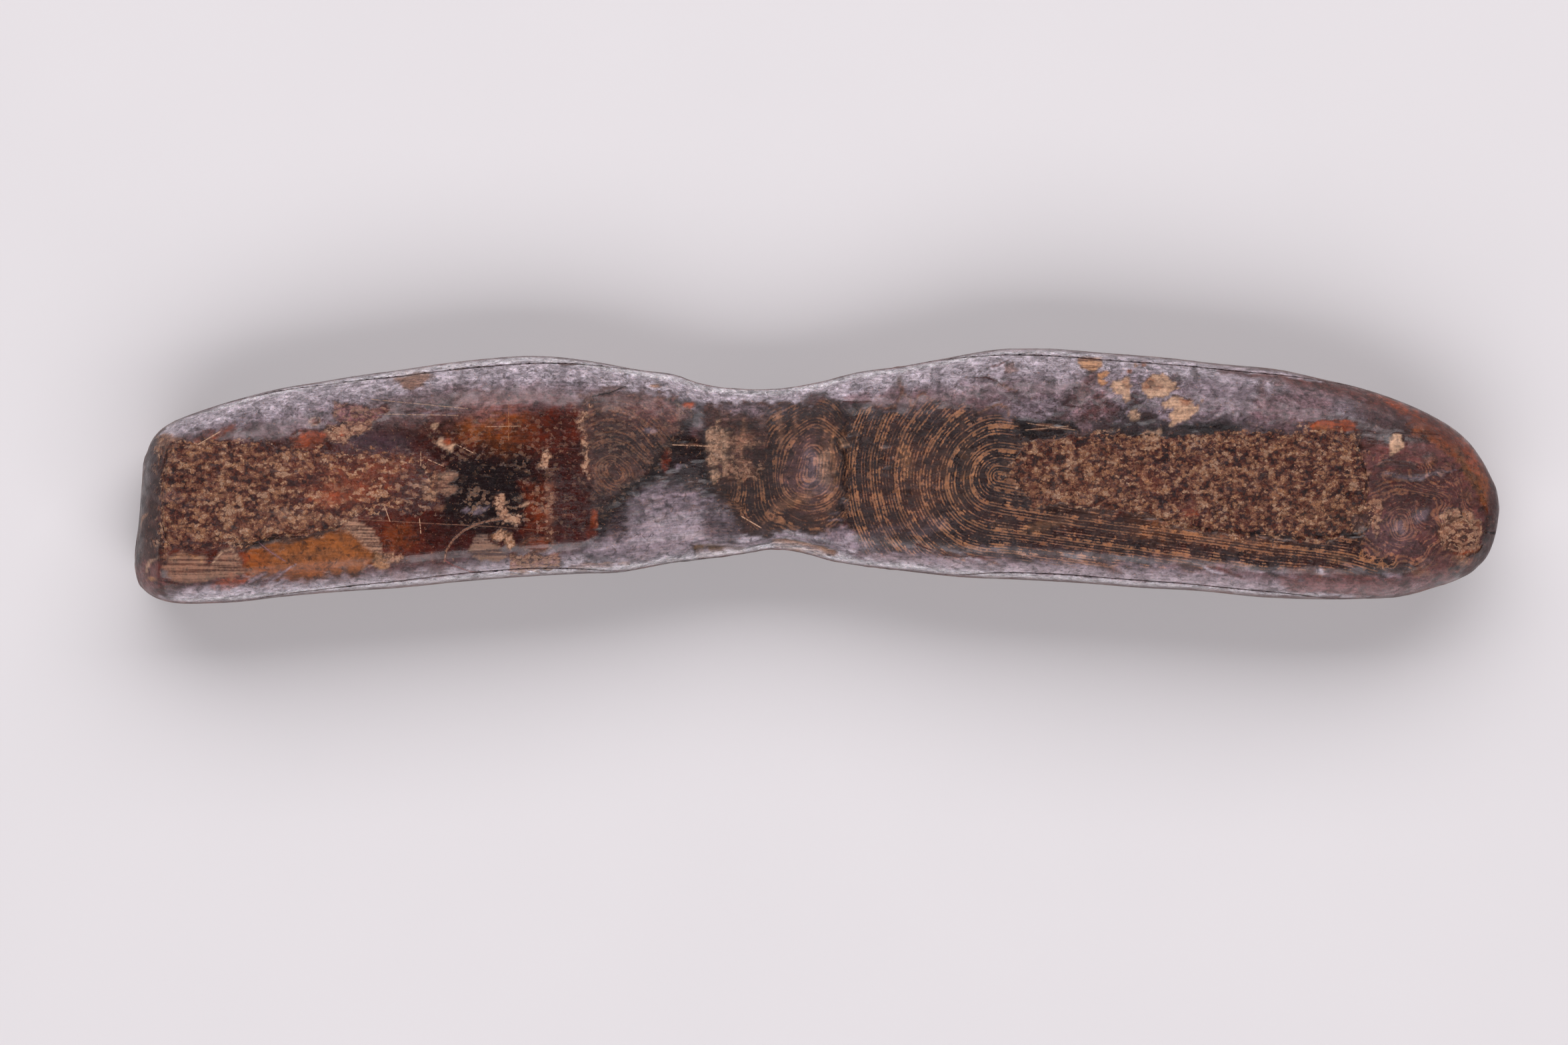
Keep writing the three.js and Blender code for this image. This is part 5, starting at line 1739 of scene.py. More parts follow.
class Wire:
    """The output of a shader node; arithmetic on it adds Math nodes."""

    def __init__(self, graph: "Graph", socket: bpy.types.NodeSocket) -> None:
        """Keeps the graph and the socket."""
        self.graph, self.socket = graph, socket

    def _math(self, operation: str, *values: "Wire | float") -> "Wire":
        """Adds a Math node on some values."""
        return self.graph.node("ShaderNodeMath", {"operation": operation}, dict(enumerate(values)))

    def __add__(self, other: "Wire | float") -> "Wire":
        """Sum with a value."""
        return self._math("ADD", self, other)

    def __radd__(self, other: float) -> "Wire":
        """Sum with a number."""
        return self._math("ADD", other, self)

    def __sub__(self, other: "Wire | float") -> "Wire":
        """Difference from a value."""
        return self._math("SUBTRACT", self, other)

    def __rsub__(self, other: float) -> "Wire":
        """Number less this."""
        return self._math("SUBTRACT", other, self)

    def __mul__(self, other: "Wire | float") -> "Wire":
        """Product with a value."""
        return self._math("MULTIPLY", self, other)

    def __rmul__(self, other: float) -> "Wire":
        """Product with a number."""
        return self._math("MULTIPLY", other, self)

    def size(self) -> "Wire":
        """This without its sign."""
        return self._math("ABSOLUTE", self)

    def least(self, other: "Wire | float") -> "Wire":
        """The lesser of this and a value."""
        return self._math("MINIMUM", self, other)

    def limited(self) -> "Wire":
        """This kept between 0 and 1."""
        return self.graph.node("ShaderNodeClamp", {}, {"Value": self})

    def sine(self) -> "Wire":
        """Sine of a number of turns, from 0 to 1."""
        return self._math("SINE", self * (2 * math.pi)) * 0.5 + 0.5

    def step(self, low: float, high: float) -> "Wire":
        """Smooth step from 0 at low to 1 at high.

        Args:
            low: Where the step starts; it may be above high, for a falling step.
            high: Where the step ends.

        Returns:
            The stepped value.
        """
        return self.graph.node(
            "ShaderNodeMapRange",
            {"interpolation_type": "SMOOTHSTEP"},
            {"Value": self, "From Min": low, "From Max": high},
        )


class Graph:
    """The shader nodes of one material."""

    def __init__(self, material: bpy.types.Material) -> None:
        """Empties the material's tree and keeps it.

        Args:
            material: The material or world.
        """
        material.use_nodes = True
        self.tree = material.node_tree
        self.tree.nodes.clear()

    def node(
        self,
        kind: str,
        settings: dict[str, Any] | None = None,
        values: dict[Any, Any] | None = None,
        output: int | str = 0,
    ) -> Wire:
        """Adds a node.

        Args:
            kind: The node's type.
            settings: Its settings, set first; "stops" are the places and colours of a ramp.
            values: What goes into its sockets, by index or name: a Wire, a number or a vector.
            output: The output wanted, by index or name.

        Returns:
            That output, or an empty wire for a node that has none.
        """
        made = self.tree.nodes.new(kind)
        for name, value in (settings or {}).items():
            if name == "stops":
                self._set_stops(made.color_ramp, value)
            else:
                setattr(made, name, value)
        for key, value in (values or {}).items():
            socket = made.inputs[key]
            if isinstance(value, Wire):
                self.tree.links.new(value.socket, socket)
            else:
                socket.default_value = value
        return Wire(self, made.outputs[output] if made.outputs else None)

    @staticmethod
    def _set_stops(color_ramp: Any, stops: Sequence[tuple[float, Swatch]]) -> None:
        """Gives a ramp its places and stains.

        Args:
            color_ramp: The ramp.
            stops: Its places, each with its stain.
        """
        while len(color_ramp.elements) < len(stops):
            color_ramp.elements.new(0.5)
        for element, (place, stain) in zip(color_ramp.elements, stops):
            element.position = place
            element.color = (*linear(stain.value), 1)

    def place(self) -> Wire:
        """Object coordinates in millimetres."""
        metres = self.node("ShaderNodeTexCoord", output="Object")
        return self.scaled(metres, 1 / MM)

    def scaled(self, vector: Wire, factor: Wire | float) -> Wire:
        """A vector or colour made longer by a factor.

        Args:
            vector: The vector or colour.
            factor: The factor.

        Returns:
            The longer vector.
        """
        return self.node(
            "ShaderNodeVectorMath", {"operation": "SCALE"}, {0: vector, "Scale": factor}
        )

    def vector(
        self, operation: str, first: Wire | Any, second: Wire | Any, output: int | str = 0
    ) -> Wire:
        """Adds a Vector Math node on two vectors.

        Args:
            operation: What the node does.
            first: The first value.
            second: The second value.
            output: The output wanted, by index or name.

        Returns:
            The output wanted.
        """
        return self.node(
            "ShaderNodeVectorMath", {"operation": operation}, {0: first, 1: second}, output
        )

    def stretched(self, vector: Wire, factors: tuple[float, float, float]) -> Wire:
        """A vector with each part made longer by its own factor."""
        return self.vector("MULTIPLY", vector, factors)

    def noise(self, place: Wire, scale: float, detail: float = 4.0, warp: float = 0.0) -> Wire:
        """Noise from 0 to 1 with so many lumps to a millimetre.

        Args:
            place: Where the surface is, in millimetres.
            scale: Lumps or points to a millimetre.
            detail: How many finer sizes lie on the lumps.
            warp: How far the lumps are bent.

        Returns:
            The noise.
        """
        return self.node(
            "ShaderNodeTexNoise",
            {"noise_dimensions": "3D"},
            {"Vector": place, "Scale": scale, "Detail": detail, "Roughness": 0.6, "Distortion": warp},
        )

    def cells(self, place: Wire, scale: float) -> tuple[Wire, Wire]:
        """Distance to the nearest of scattered points, and a random number of that point's own.

        Args:
            place: Where the surface is, in millimetres.
            scale: Lumps or points to a millimetre.

        Returns:
            The distance, then the random number.
        """
        near = self.node("ShaderNodeTexVoronoi", {}, {"Vector": place, "Scale": scale}, "Distance")
        colour = Wire(self, near.socket.node.outputs["Color"])
        own = self.node("ShaderNodeSeparateColor", {}, {0: colour})
        return near, own

    def mix(self, factor: Wire | float, first: Wire | Swatch, second: Wire | Swatch) -> Wire:
        """Blend from one colour to another.

        Args:
            factor: The factor.
            first: The first value.
            second: The second value.

        Returns:
            The blended colour.
        """
        first, second = (
            (*linear(c.value), 1) if isinstance(c, Swatch) else c for c in (first, second)
        )
        return self.node(
            "ShaderNodeMix",
            {"data_type": "RGBA", "clamp_factor": True},
            {0: factor, 6: first, 7: second},
            2,
        )

    def layer(self, name: str) -> Wire:
        """A number that is kept at the piece's vertices."""
        return self.node("ShaderNodeAttribute", {"attribute_name": name}, output="Fac")

    def stain(self) -> Wire:
        """The colour that is kept at the piece's vertices."""
        return self.node("ShaderNodeAttribute", {"attribute_name": "stain"}, output="Color")


@dataclass(frozen=True)
class Polish:
    """Constants of a surface: what the shader's own sockets are set to."""

    ior: float = 1.54
    specular: float = 0.35
    coat_roughness: float = 0.12
    coat_ior: float = 1.52
    glow: float = 0.10
    glow_reach: float = 0.0009

    def shader(self, graph: Graph, **links: Wire) -> None:
        """Adds the shader and the material's output.

        Args:
            graph: The material's nodes.
            **links: Base_Color, Roughness, Coat_Weight and Normal.
        """
        values: dict[Any, Any] = {name.replace("_", " "): wire for name, wire in links.items()}
        values |= {
            "IOR": self.ior,
            "Specular IOR Level": self.specular,
            "Coat Roughness": self.coat_roughness,
            "Coat IOR": self.coat_ior,
            "Subsurface Weight": self.glow,
            "Subsurface Radius": (1.0, 0.35, 0.15),
            "Subsurface Scale": self.glow_reach,
        }
        shader = graph.node("ShaderNodeBsdfPrincipled", {}, values)
        graph.node("ShaderNodeOutputMaterial", {}, {"Surface": shader})


@dataclass(frozen=True)
class Scratch:
    """A scratch or crack along a line of pixels, so many pixels wide."""

    line: Points
    width: float = 1.6
    stain: Swatch = CREAM
    cover: float = 0.8

    def drawn(self, graph: Graph, place: Wire) -> Wire:
        """How much each place is in the scratch.

        Args:
            graph: The material's nodes.
            place: Where the surface is, in millimetres.

        Returns:
            The share, from 0 to 1.
        """
        flat = graph.stretched(place, (1, 1, 0))
        corners = [Vector((PHOTO.x_mm(px), PHOTO.y_mm(py), 0)) for px, py in self.line]
        nearest: Wire | None = None
        for start, end in zip(corners, corners[1:]):
            run = end - start
            away = graph.vector("SUBTRACT", flat, start)
            share = graph.vector("DOT_PRODUCT", away, run / run.length_squared, "Value").limited()
            foot = graph.scaled(graph.vector("MULTIPLY", run, (1, 1, 1)), share)
            apart = graph.vector("DISTANCE", away, foot, "Value")
            nearest = apart if nearest is None else nearest.least(apart)
        half = self.width * PHOTO.scale / 2
        return nearest.step(half * 1.3, half * 0.5)


SCRATCHES = (
    Scratch(((536, 779), (640, 785), (740, 790)), 1.4, BUFF, 0.45),
    Scratch(((740, 790), (840, 798)), 1.2, BUFF, 0.35),
    Scratch(((730, 641), (783, 640)), 1.3, cover=0.55),
    Scratch(((765, 611), (765, 661)), 1.2, GOLD, 0.5),
    Scratch(((632, 778), (634, 800)), 1.4),
    Scratch(((580, 760), (588, 782)), 1.4),
    Scratch(((634, 678), (634, 700)), 1.2),
    Scratch(((645, 690), (668, 700)), 1.3),
    Scratch(((688, 668), (712, 680)), 1.3),
    Scratch(((300, 668), (334, 648)), 1.5),
    Scratch(((560, 600), (704, 614)), 1.2, cover=0.5),
    Scratch(((570, 622), (690, 624)), 1.2, cover=0.5),
    Scratch(((1010, 668), (1066, 670)), 1.4),
    Scratch(((1113, 775), (1142, 792)), 1.8),
    Scratch(((1536, 646), (1600, 640)), 1.2, cover=0.5),
    Scratch(((1540, 636), (1610, 646)), 1.2, cover=0.5),
    Scratch(
        ((760, 778), (738, 781), (718, 786), (698, 796), (682, 810), (672, 826), (669, 842)),
        3.4, BUFF, 0.55,
    ),
    Scratch(((669, 840), (682, 848), (706, 857), (735, 862)), 2.6, ROSE, 0.8),
    Scratch(((1371, 815), (1392, 824), (1416, 833), (1440, 836), (1458, 833)), 2.2, OXBLOOD, 1.0),
    Scratch(((890, 596), (916, 590), (940, 580)), 1.4, BLACK, 0.9),
    Scratch(((1461, 568), (1478, 567), (1494, 573), (1502, 580)), 2.0, OXBLOOD, 0.9),
    Scratch(((1264, 603), (1284, 604), (1306, 603)), 1.8, OXBLOOD, 0.9),
    Scratch(((2229, 798), (2238, 800), (2246, 801)), 1.8, BLACK, 1.0),
    Scratch(((2020, 650), (2060, 651), (2110, 649), (2156, 653)), 1.6, OXBLOOD, 0.8),
    Scratch(((392, 814), (410, 828), (432, 842)), 1.8, MAUVE, 0.7),
)


@dataclass(frozen=True)
class CarvedIvory:
    """Old stained ivory as the carved face shows it: polish, growth lines, core and chips.

    Grains, dust and fibres are counted to a millimetre.
    """

    name: str
    polish: Polish = Polish()
    roughness: float = 0.16
    grains: float = 2.0
    dust: float = 4.4
    fibres: float = 3.0
    coat: float = 0.28
    bump_depth: float = 0.00016
    bump_strength: float = 0.7
    grain_bend: float = 0.7
    scratched: bool = False

    def material(self) -> bpy.types.Material:
        """Builds the material.

        Returns:
            The material.
        """
        made = bpy.data.materials.new(self.name)
        g = Graph(made)
        place = g.place()
        mottle = g.noise(place, 0.5, 8, 0.6).step(0.38, 0.62)
        cloud = g.noise(place, 1.3, 6, 0.5).step(0.36, 0.64)
        fine = g.noise(place, 3.2, 5, 0.3)
        tiny = g.noise(place, 9.0, 3)
        along = g.noise(g.stretched(place, (0.25, 3.0, 2.0)), 1.0, 5, 0.4).step(0.38, 0.62)
        dull, grain = g.layer("dull"), g.layer("grain")
        tone = 0.34 * mottle + 0.34 * cloud + 0.20 * along + 0.5 * fine
        base = g.scaled(g.stain(), tone)
        base = g.mix(g.noise(place, 0.9, 7, 0.8).step(0.55, 0.64) * 0.6, base, BLACK)
        # Buff flecks: crumbs, and painted glints on the polish.
        base = g.mix(g.noise(place, 2.3, 4, 0.4).step(0.62, 0.68) * 0.4, base, BUFF)
        base, wave = self._growth(g, base, mottle, cloud, fine, tiny)
        base, bark = self._bark(g, base, place, cloud, fine)
        base, wrinkle = self._wrinkles(g, base, place)
        base, fibre = self._fibres(g, base, place, fine)
        base, knob = self._grains(g, base, place, grain)
        base, cut = self._hairlines(g, base, place, fine)
        rough = self.roughness + 0.12 * (1.0 - mottle) + 0.25 * dull + 0.14 * grain
        rough = rough + 0.2 * (fine - 0.48) + 0.05 * along
        height = 0.12 * fine + 0.03 * tiny + 0.08 * along + 0.12 * cloud + 0.22 * wave
        height = height + 0.30 * fibre + 2.6 * knob - 0.5 * cut + wrinkle + bark
        relief = {"Height": height, "Distance": self.bump_depth, "Strength": self.bump_strength}
        normal = g.node("ShaderNodeBump", {}, relief)
        self.polish.shader(
            g,
            Base_Color=base,
            Roughness=rough,
            Coat_Weight=(self.coat + 0.34 * mottle - 0.6 * dull - 0.1 * grain).step(0.0, 1.0),
            Normal=normal,
        )
        return made

    def _bark(
        self, g: Graph, base: Wire, place: Wire, cloud: Wire, fine: Wire
    ) -> tuple[Wire, Wire | float]:
        """Leaves the colour as it is, with no bark on it."""
        return base, 0.0

    def _wrinkles(self, g: Graph, base: Wire, place: Wire) -> tuple[Wire, Wire]:
        """Lays wrinkles, creases and the ripples of scraping over a colour, with painted shade that follows
        their height.

        Args:
            g: The material's nodes.
            base: The colour so far.
            place: Where the surface is, in millimetres.

        Returns:
            The new colour, and the height of the wrinkles.
        """
        dents, ripple = g.layer("dents"), g.layer("ripple")
        folds = g.noise(g.stretched(place, (0.8, 1.3, 1.0)), 0.75, 6, 0.9).step(0.3, 0.7)
        crease = (g.noise(g.stretched(place, (0.7, 1.4, 1.0)), 0.9, 4, 1.2) - 0.5).size()
        crease = crease.step(0.0, 0.04)
        turned = g.node(
            "ShaderNodeMapping", {}, {0: place, "Rotation": (0, 0, 0.35), "Scale": (0.35, 2.2, 1)}
        )
        waves = g.noise(turned, 1.0, 5, 0.7).step(0.3, 0.7)
        height = dents * (folds * 1.2 + crease * 0.4) + ripple * waves * 1.0
        # Painted shade: the colour is lighter where folds and ripples stand high and darker where they lie
        # low, and umber darkens the creases.
        shade = 1.0 + dents * (folds - 0.5) * 0.9 + ripple * (waves - 0.5) * 0.5
        base = g.mix(dents * (1.0 - crease) * 0.45, g.scaled(base, shade), UMBER)
        return base, height

    def _hairlines(self, g: Graph, base: Wire, place: Wire, fine: Wire) -> tuple[Wire, Wire]:
        """Lays fine scratches over a colour: faint ones everywhere, and the few long clear ones.

        Args:
            g: The material's nodes.
            base: The colour so far.
            place: Where the surface is, in millimetres.
            fine: Noise that breaks them up.

        Returns:
            The new colour, and how deep the scratches are.
        """
        faint: Wire | float = 0.0
        for turn, seed in ((0.12, 0.0), (-0.5, 31.0), (1.1, 62.0)):
            laid = g.node(
                "ShaderNodeMapping",
                {},
                {0: place, "Location": (seed, 0, 0), "Rotation": (0, 0, turn), "Scale": (0.22, 2.3, 1)},
            )
            ridge = (g.noise(laid, 1.0, 2, 0.2) - 0.5).size().step(0.005, 0.0)
            shown = g.noise(laid, 0.9, 2, 0.0).step(0.56, 0.64)
            faint = ridge * shown * fine.step(0.42, 0.52) + faint
        base = g.mix(faint * 0.3, base, BUFF)
        cut = faint * 0.5
        for scratch in SCRATCHES if self.scratched else ():
            drawn = scratch.drawn(g, place) * fine.step(0.36, 0.5)
            base = g.mix(drawn * scratch.cover, base, scratch.stain)
            cut = drawn + cut
        return base, cut

    def _growth(
        self, g: Graph, base: Wire, mottle: Wire, cloud: Wire, fine: Wire, tiny: Wire
    ) -> tuple[Wire, Wire]:
        """Lays the growth lines over a colour.

        Args:
            g: The material's nodes.
            base: The colour so far.
            mottle: Noise of a few millimetres.
            cloud: Noise of the size of several lines.
            fine: Noise of the size of one.
            tiny: Noise finer than a line.

        Returns:
            The new colour, and the height of the lines.
        """
        phase = g.layer("phase")
        strength = g.layer("lines")
        wave = (phase + 0.08 * (cloud - 0.5) + 0.12 * (fine - 0.5)).sine()
        group = (phase * 0.37 + 0.2 * (cloud - 0.5)).sine()
        slow = (phase * 0.13 + 0.5 * (cloud - 0.5)).sine()
        pale = wave * 0.55 + group * 0.40 + slow * 0.50 + (mottle - 0.5) * 0.35
        pale = (pale + (tiny + fine - 0.96) * 0.4).step(0.74, 1.12)
        dark = g.mix(0.75, base, g.mix(cloud * 0.4, BLACK, UMBER))
        light = g.mix(0.7, base, g.mix(cloud * 0.4 + 0.4 * slow, TAN, GOLD))
        light = g.mix((1.0 - mottle) * 0.45, light, dark)
        shown = strength * (0.8 + 0.2 * cloud)
        return g.mix(shown, base, g.mix(pale, dark, light)), pale * strength

    def _fibres(self, g: Graph, base: Wire, place: Wire, fine: Wire) -> tuple[Wire, Wire]:
        """Lays the fibres of fresh breaks over a colour.

        Args:
            g: The material's nodes.
            base: The colour so far.
            place: Where the surface is, in millimetres.
            fine: Noise of the size of a few fibres.

        Returns:
            The new colour, and the height of the fibres.
        """
        chip = g.layer("chip")
        row = g.noise(g.stretched(place, (0.10, self.fibres, 0.6)), 1.0, 4, 0.2)
        streak = (row + 0.35 * (fine - 0.5)).step(0.40, 0.60)
        tone = g.mix(streak, g.mix(0.7, base, UMBER), g.mix(0.35, base, CREAM))
        return g.mix(chip * 0.85, base, tone), streak * chip

    def _grains(self, g: Graph, base: Wire, place: Wire, grain: Wire) -> tuple[Wire, Wire]:
        """Lays the grains of bare core, and crumbs of it, over a colour, with painted shade in the gaps
        between the grains.

        Args:
            g: The material's nodes.
            base: The colour so far.
            place: Where the surface is, in millimetres.
            grain: How much of the surface is core.

        Returns:
            The new colour, and the height of the grains.
        """
        bend = g.node("ShaderNodeTexNoise", {}, {"Vector": place, "Scale": 2.4}, "Color")
        bent = g.stretched(g.vector("ADD", place, g.scaled(bend, self.grain_bend)), (0.8, 1.2, 1.0))
        near, own = g.cells(bent, self.grains)
        small, tint = g.cells(bent, self.dust)
        clump = g.noise(place, 0.7, 5, 0.5).step(0.38, 0.62)
        palette = [
            (0.0, BLACK), (0.16, OXBLOOD), (0.30, CHESTNUT), (0.46, TAN),
            (0.66, BUFF), (0.84, GOLD), (1.0, CREAM),
        ]
        tint_place = own * 0.64 + clump * 0.66 + tint * 0.24 - 0.20
        tone = g.node("ShaderNodeValToRGB", {"stops": palette}, {0: tint_place})
        lump = (1.0 - near).step(0.16, 0.50)
        grit = (1.0 - small).step(0.40, 0.75)
        there = grain.step(0.05, 0.35)
        shown = there * (lump * (own + grain - 0.75).step(0.0, 0.2) * (0.55 + 0.45 * grit))
        # Painted shade: black and oxblood fill the gaps between the grains.
        deep = g.mix(grain * 0.8, base, g.mix(clump, BLACK, OXBLOOD))
        speck = g.layer("speck")
        crumb = (speck * 0.9 + 0.04) * lump * (own + speck - 0.82).step(0.0, 0.15)
        colour = g.mix(shown * 0.95, deep, g.mix(0.15, tone, base))
        colour = g.mix(crumb * 0.85, colour, g.mix(tint, BUFF, CREAM))
        dome = (1.0 - near).step(0.2, 0.95) * (0.4 + 0.6 * own)
        return colour, there * dome * 1.2 + crumb * 0.8 + grain * grit * 0.5


@dataclass(frozen=True)
class Cementum(CarvedIvory):
    """The rind: like the carved face above, and the tusk's own fluted, checked bark beneath."""

    def _bark(
        self, g: Graph, base: Wire, place: Wire, cloud: Wire, fine: Wire
    ) -> tuple[Wire, Wire]:
        """Lays the bark over the colour where the rind turns under.

        Args:
            g: The material's nodes.
            base: The colour so far.
            place: Where the surface is, in millimetres.
            cloud: Noise of about a millimetre.
            fine: Finer noise.

        Returns:
            The new colour, and the height of the bark.
        """
        under = g.layer("under")
        broad = g.noise(place, 0.12, 4, 0.5)
        sheet = g.noise(g.stretched(place, (0.05, 1.0, 2.6)), 1.0, 5, 0.3)
        crack = g.noise(g.stretched(place, (0.045, 0.55, 0.55)), 1.0, 3, 0.6)
        line = (crack - 0.5).size().step(0.012, 0.0) * under
        own = g.mix(broad.step(0.35, 0.65), UMBER, TAUPE)
        own = g.mix(sheet.step(0.50, 0.68) * 0.45, own, BUFF)
        own = g.mix(broad.step(0.60, 0.45) * cloud * 0.6, own, OXBLOOD)
        own = g.scaled(own, 0.35 + 0.5 * fine + 0.6 * sheet)
        base = g.mix(line * 0.8, g.mix(under, base, own), BLACK)
        return base, under * sheet * 0.8 - line * 0.9


def finish_piece(piece: bpy.types.Object, canvas: Canvas, material: bpy.types.Material) -> None:
    """Keeps a canvas on a piece's vertices and gives it its material.

    Args:
        piece: The piece.
        canvas: The canvas at its vertices.
        material: The material.
    """
    keep(piece, "stain", canvas.stain)
    keep(piece, "phase", canvas.phase)
    for layer, values in canvas.layers.items():
        keep(piece, layer.value, values)
    piece.data.materials.clear()
    piece.data.materials.append(material)


def stand_for(piece: bpy.types.Object, node: str) -> bpy.types.Object:
    """Ties a piece to the body, and hides the node that it stands for.

    Args:
        piece: The piece.
        node: The CAD node it replaces.

    Returns:
        The piece.
    """
    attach(piece, BODY)
    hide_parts(node)
    return piece


def at_vertices(canvas: Canvas, order: Array) -> Canvas:
    """A canvas of a grid of points, read at a piece's vertices.

    Args:
        canvas: The canvas on the flattened grid.
        order: The point of the grid that each vertex stands at.

    Returns:
        The canvas at the vertices.
    """
    made = Canvas(canvas.u[order], canvas.v[order])
    made.rise, made.stain, made.phase = canvas.rise[order], canvas.stain[order], canvas.phase[order]
    made.layers = {layer: values[order] for layer, values in canvas.layers.items()}
    return made


def bar_stations(count: int, start_run: float = 2.6, tip_run: float = 8.0) -> Array:
    """Places along the bar, closer over its two ends.

    Args:
        count: How many.
        start_run: Length over which they crowd at the squared end.
        tip_run: Length over which they crowd at the tip.

    Returns:
        Frame X of each, in millimetres.
    """
    low, high = CAD_BOX[0].x / MM + 0.02, CAD_BOX[1].x / MM - 0.02
    step = (high - low + start_run + tip_run) / count
    first, last = round(2 * start_run / step), round(2 * tip_run / step)
    start = low + start_run * (np.arange(first) / first) ** 2
    tip = high - tip_run * (np.arange(last) / last)[::-1] ** 2
    middle = np.linspace(low + start_run, high - tip_run, count - first - last + 1)
    return np.concatenate([start, middle[:-1], tip])


def confine(points: Array) -> Array:
    """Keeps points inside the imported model's box.

    Args:
        points: Points in millimetres.

    Returns:
        The points, none outside the box.
    """
    low, high = (np.array(corner) / MM for corner in CAD_BOX)
    return np.clip(points, low, high)


@dataclass
class DentineBody:
    """The body of the bar: its carved face, the beds of the cores and the inside of the rind."""

    stations: int = 590
    around: int = 164
    samples: int = 720
    under_weight: float = 0.14
    core_margin: float = 2.5
    bed_depth: float = 3.0
    back_dull: float = 0.6

    def build(self) -> bpy.types.Object:
        """Shapes the body and lays the marks on it.

        Returns:
            The finished piece.
        """
        x = bar_stations(self.stations)
        dense = FORM.section(x, self.samples)
        turn = np.linspace(0, 2 * math.pi, self.samples, endpoint=False)
        share = TUBE.share(dense)
        low, high = FORM.edges(x)
        centre = np.stack([x, (low + high) / 2, np.full(len(x), FORM.equator)], -1)[:, None]
        inside = centre + (dense - centre) * np.minimum(share, 1)[..., None]
        weight = np.where(turn <= math.pi, 1.0, self.under_weight)
        rings = resample(inside, weight[None, :], self.around)
        bare = ramp(TUBE.share(rings), 1.0005, 1.01).ravel()
        normal = outward(rings)
        canvas = painted_on(rings)
        top = (ramp(normal[..., 2], -0.3, 0.1) * ramp(rings[..., 2], 3.0, 6.0)).ravel()
        under = 1 - ramp(normal[..., 2], 0.08, 0.3).ravel() * top
        tooling = self._tooling(rings).ravel() * (1 - top) * bare
        rings = rings + normal * tooling.reshape(rings.shape[:2])[..., None]
        lift = (canvas.rise - self._beds(canvas)) * top
        rings[..., 2] += lift.reshape(rings.shape[:2])
        rings = confine(rings)
        canvas.stain += (self._back_stain(rings) - canvas.stain) * under[:, None]
        canvas.layers[DULL] += (self.back_dull - canvas.layers[DULL]) * under
        for layer in (GRAIN, LINES, CHIP, SPECK):
            canvas.layers[layer] = canvas.layers[layer] * (1 - under)
        piece, order = Skin("carved_dentine_body", rings).build()
        finish = CarvedIvory("stained_dentine", scratched=True)
        finish_piece(piece, at_vertices(canvas, order), finish.material())
        return stand_for(piece, "dentine_body")

    def _beds(self, canvas: Canvas) -> Array:
        """Depth of the hollows that the cores and the nodule lie in.

        Args:
            canvas: The canvas.

        Returns:
            The depth at each place of the canvas, in millimetres.
        """
        depth = np.zeros(canvas.u.shape)
        for bed in (LEFT_BED, RIGHT_BED):
            inward = bed.inward(canvas.u, canvas.v) - self.core_margin
            depth = np.maximum(depth, self.bed_depth * ramp(inward, 0, 7))
        return depth

    def _tooling(self, rings: Array) -> Array:
        """Relief of the groove in the back, where the bar was cut to its waist.

        Args:
            rings: Rings of points over the skin, in millimetres.

        Returns:
            The height at each point, in millimetres.
        """
        noise = Noise(44)
        x, y = rings[..., 0], rings[..., 1]
        near = noise.cells(x / 3.1, y / 2.3)[0]
        return 0.10 * (ramp(near, 0.7, 0.0) - 0.5) + 0.06 * noise.rough(3, x / 1.4, y / 3)

    def _back_stain(self, rings: Array) -> Array:
        """Stain of the sides and back of the body, one colour for each point of its rings.

        Args:
            rings: Rings of points over the skin, in millimetres.

        Returns:
            The colours.
        """
        noise = Noise(45)
        share = 0.5 + 0.5 * noise.rough(3, rings[..., 0].ravel() / 5, rings[..., 1].ravel() / 3)
        first, second = np.array(linear(UMBER.value)), np.array(linear(CHESTNUT.value))
        return first + (second - first) * np.clip(share, 0, 1)[:, None]


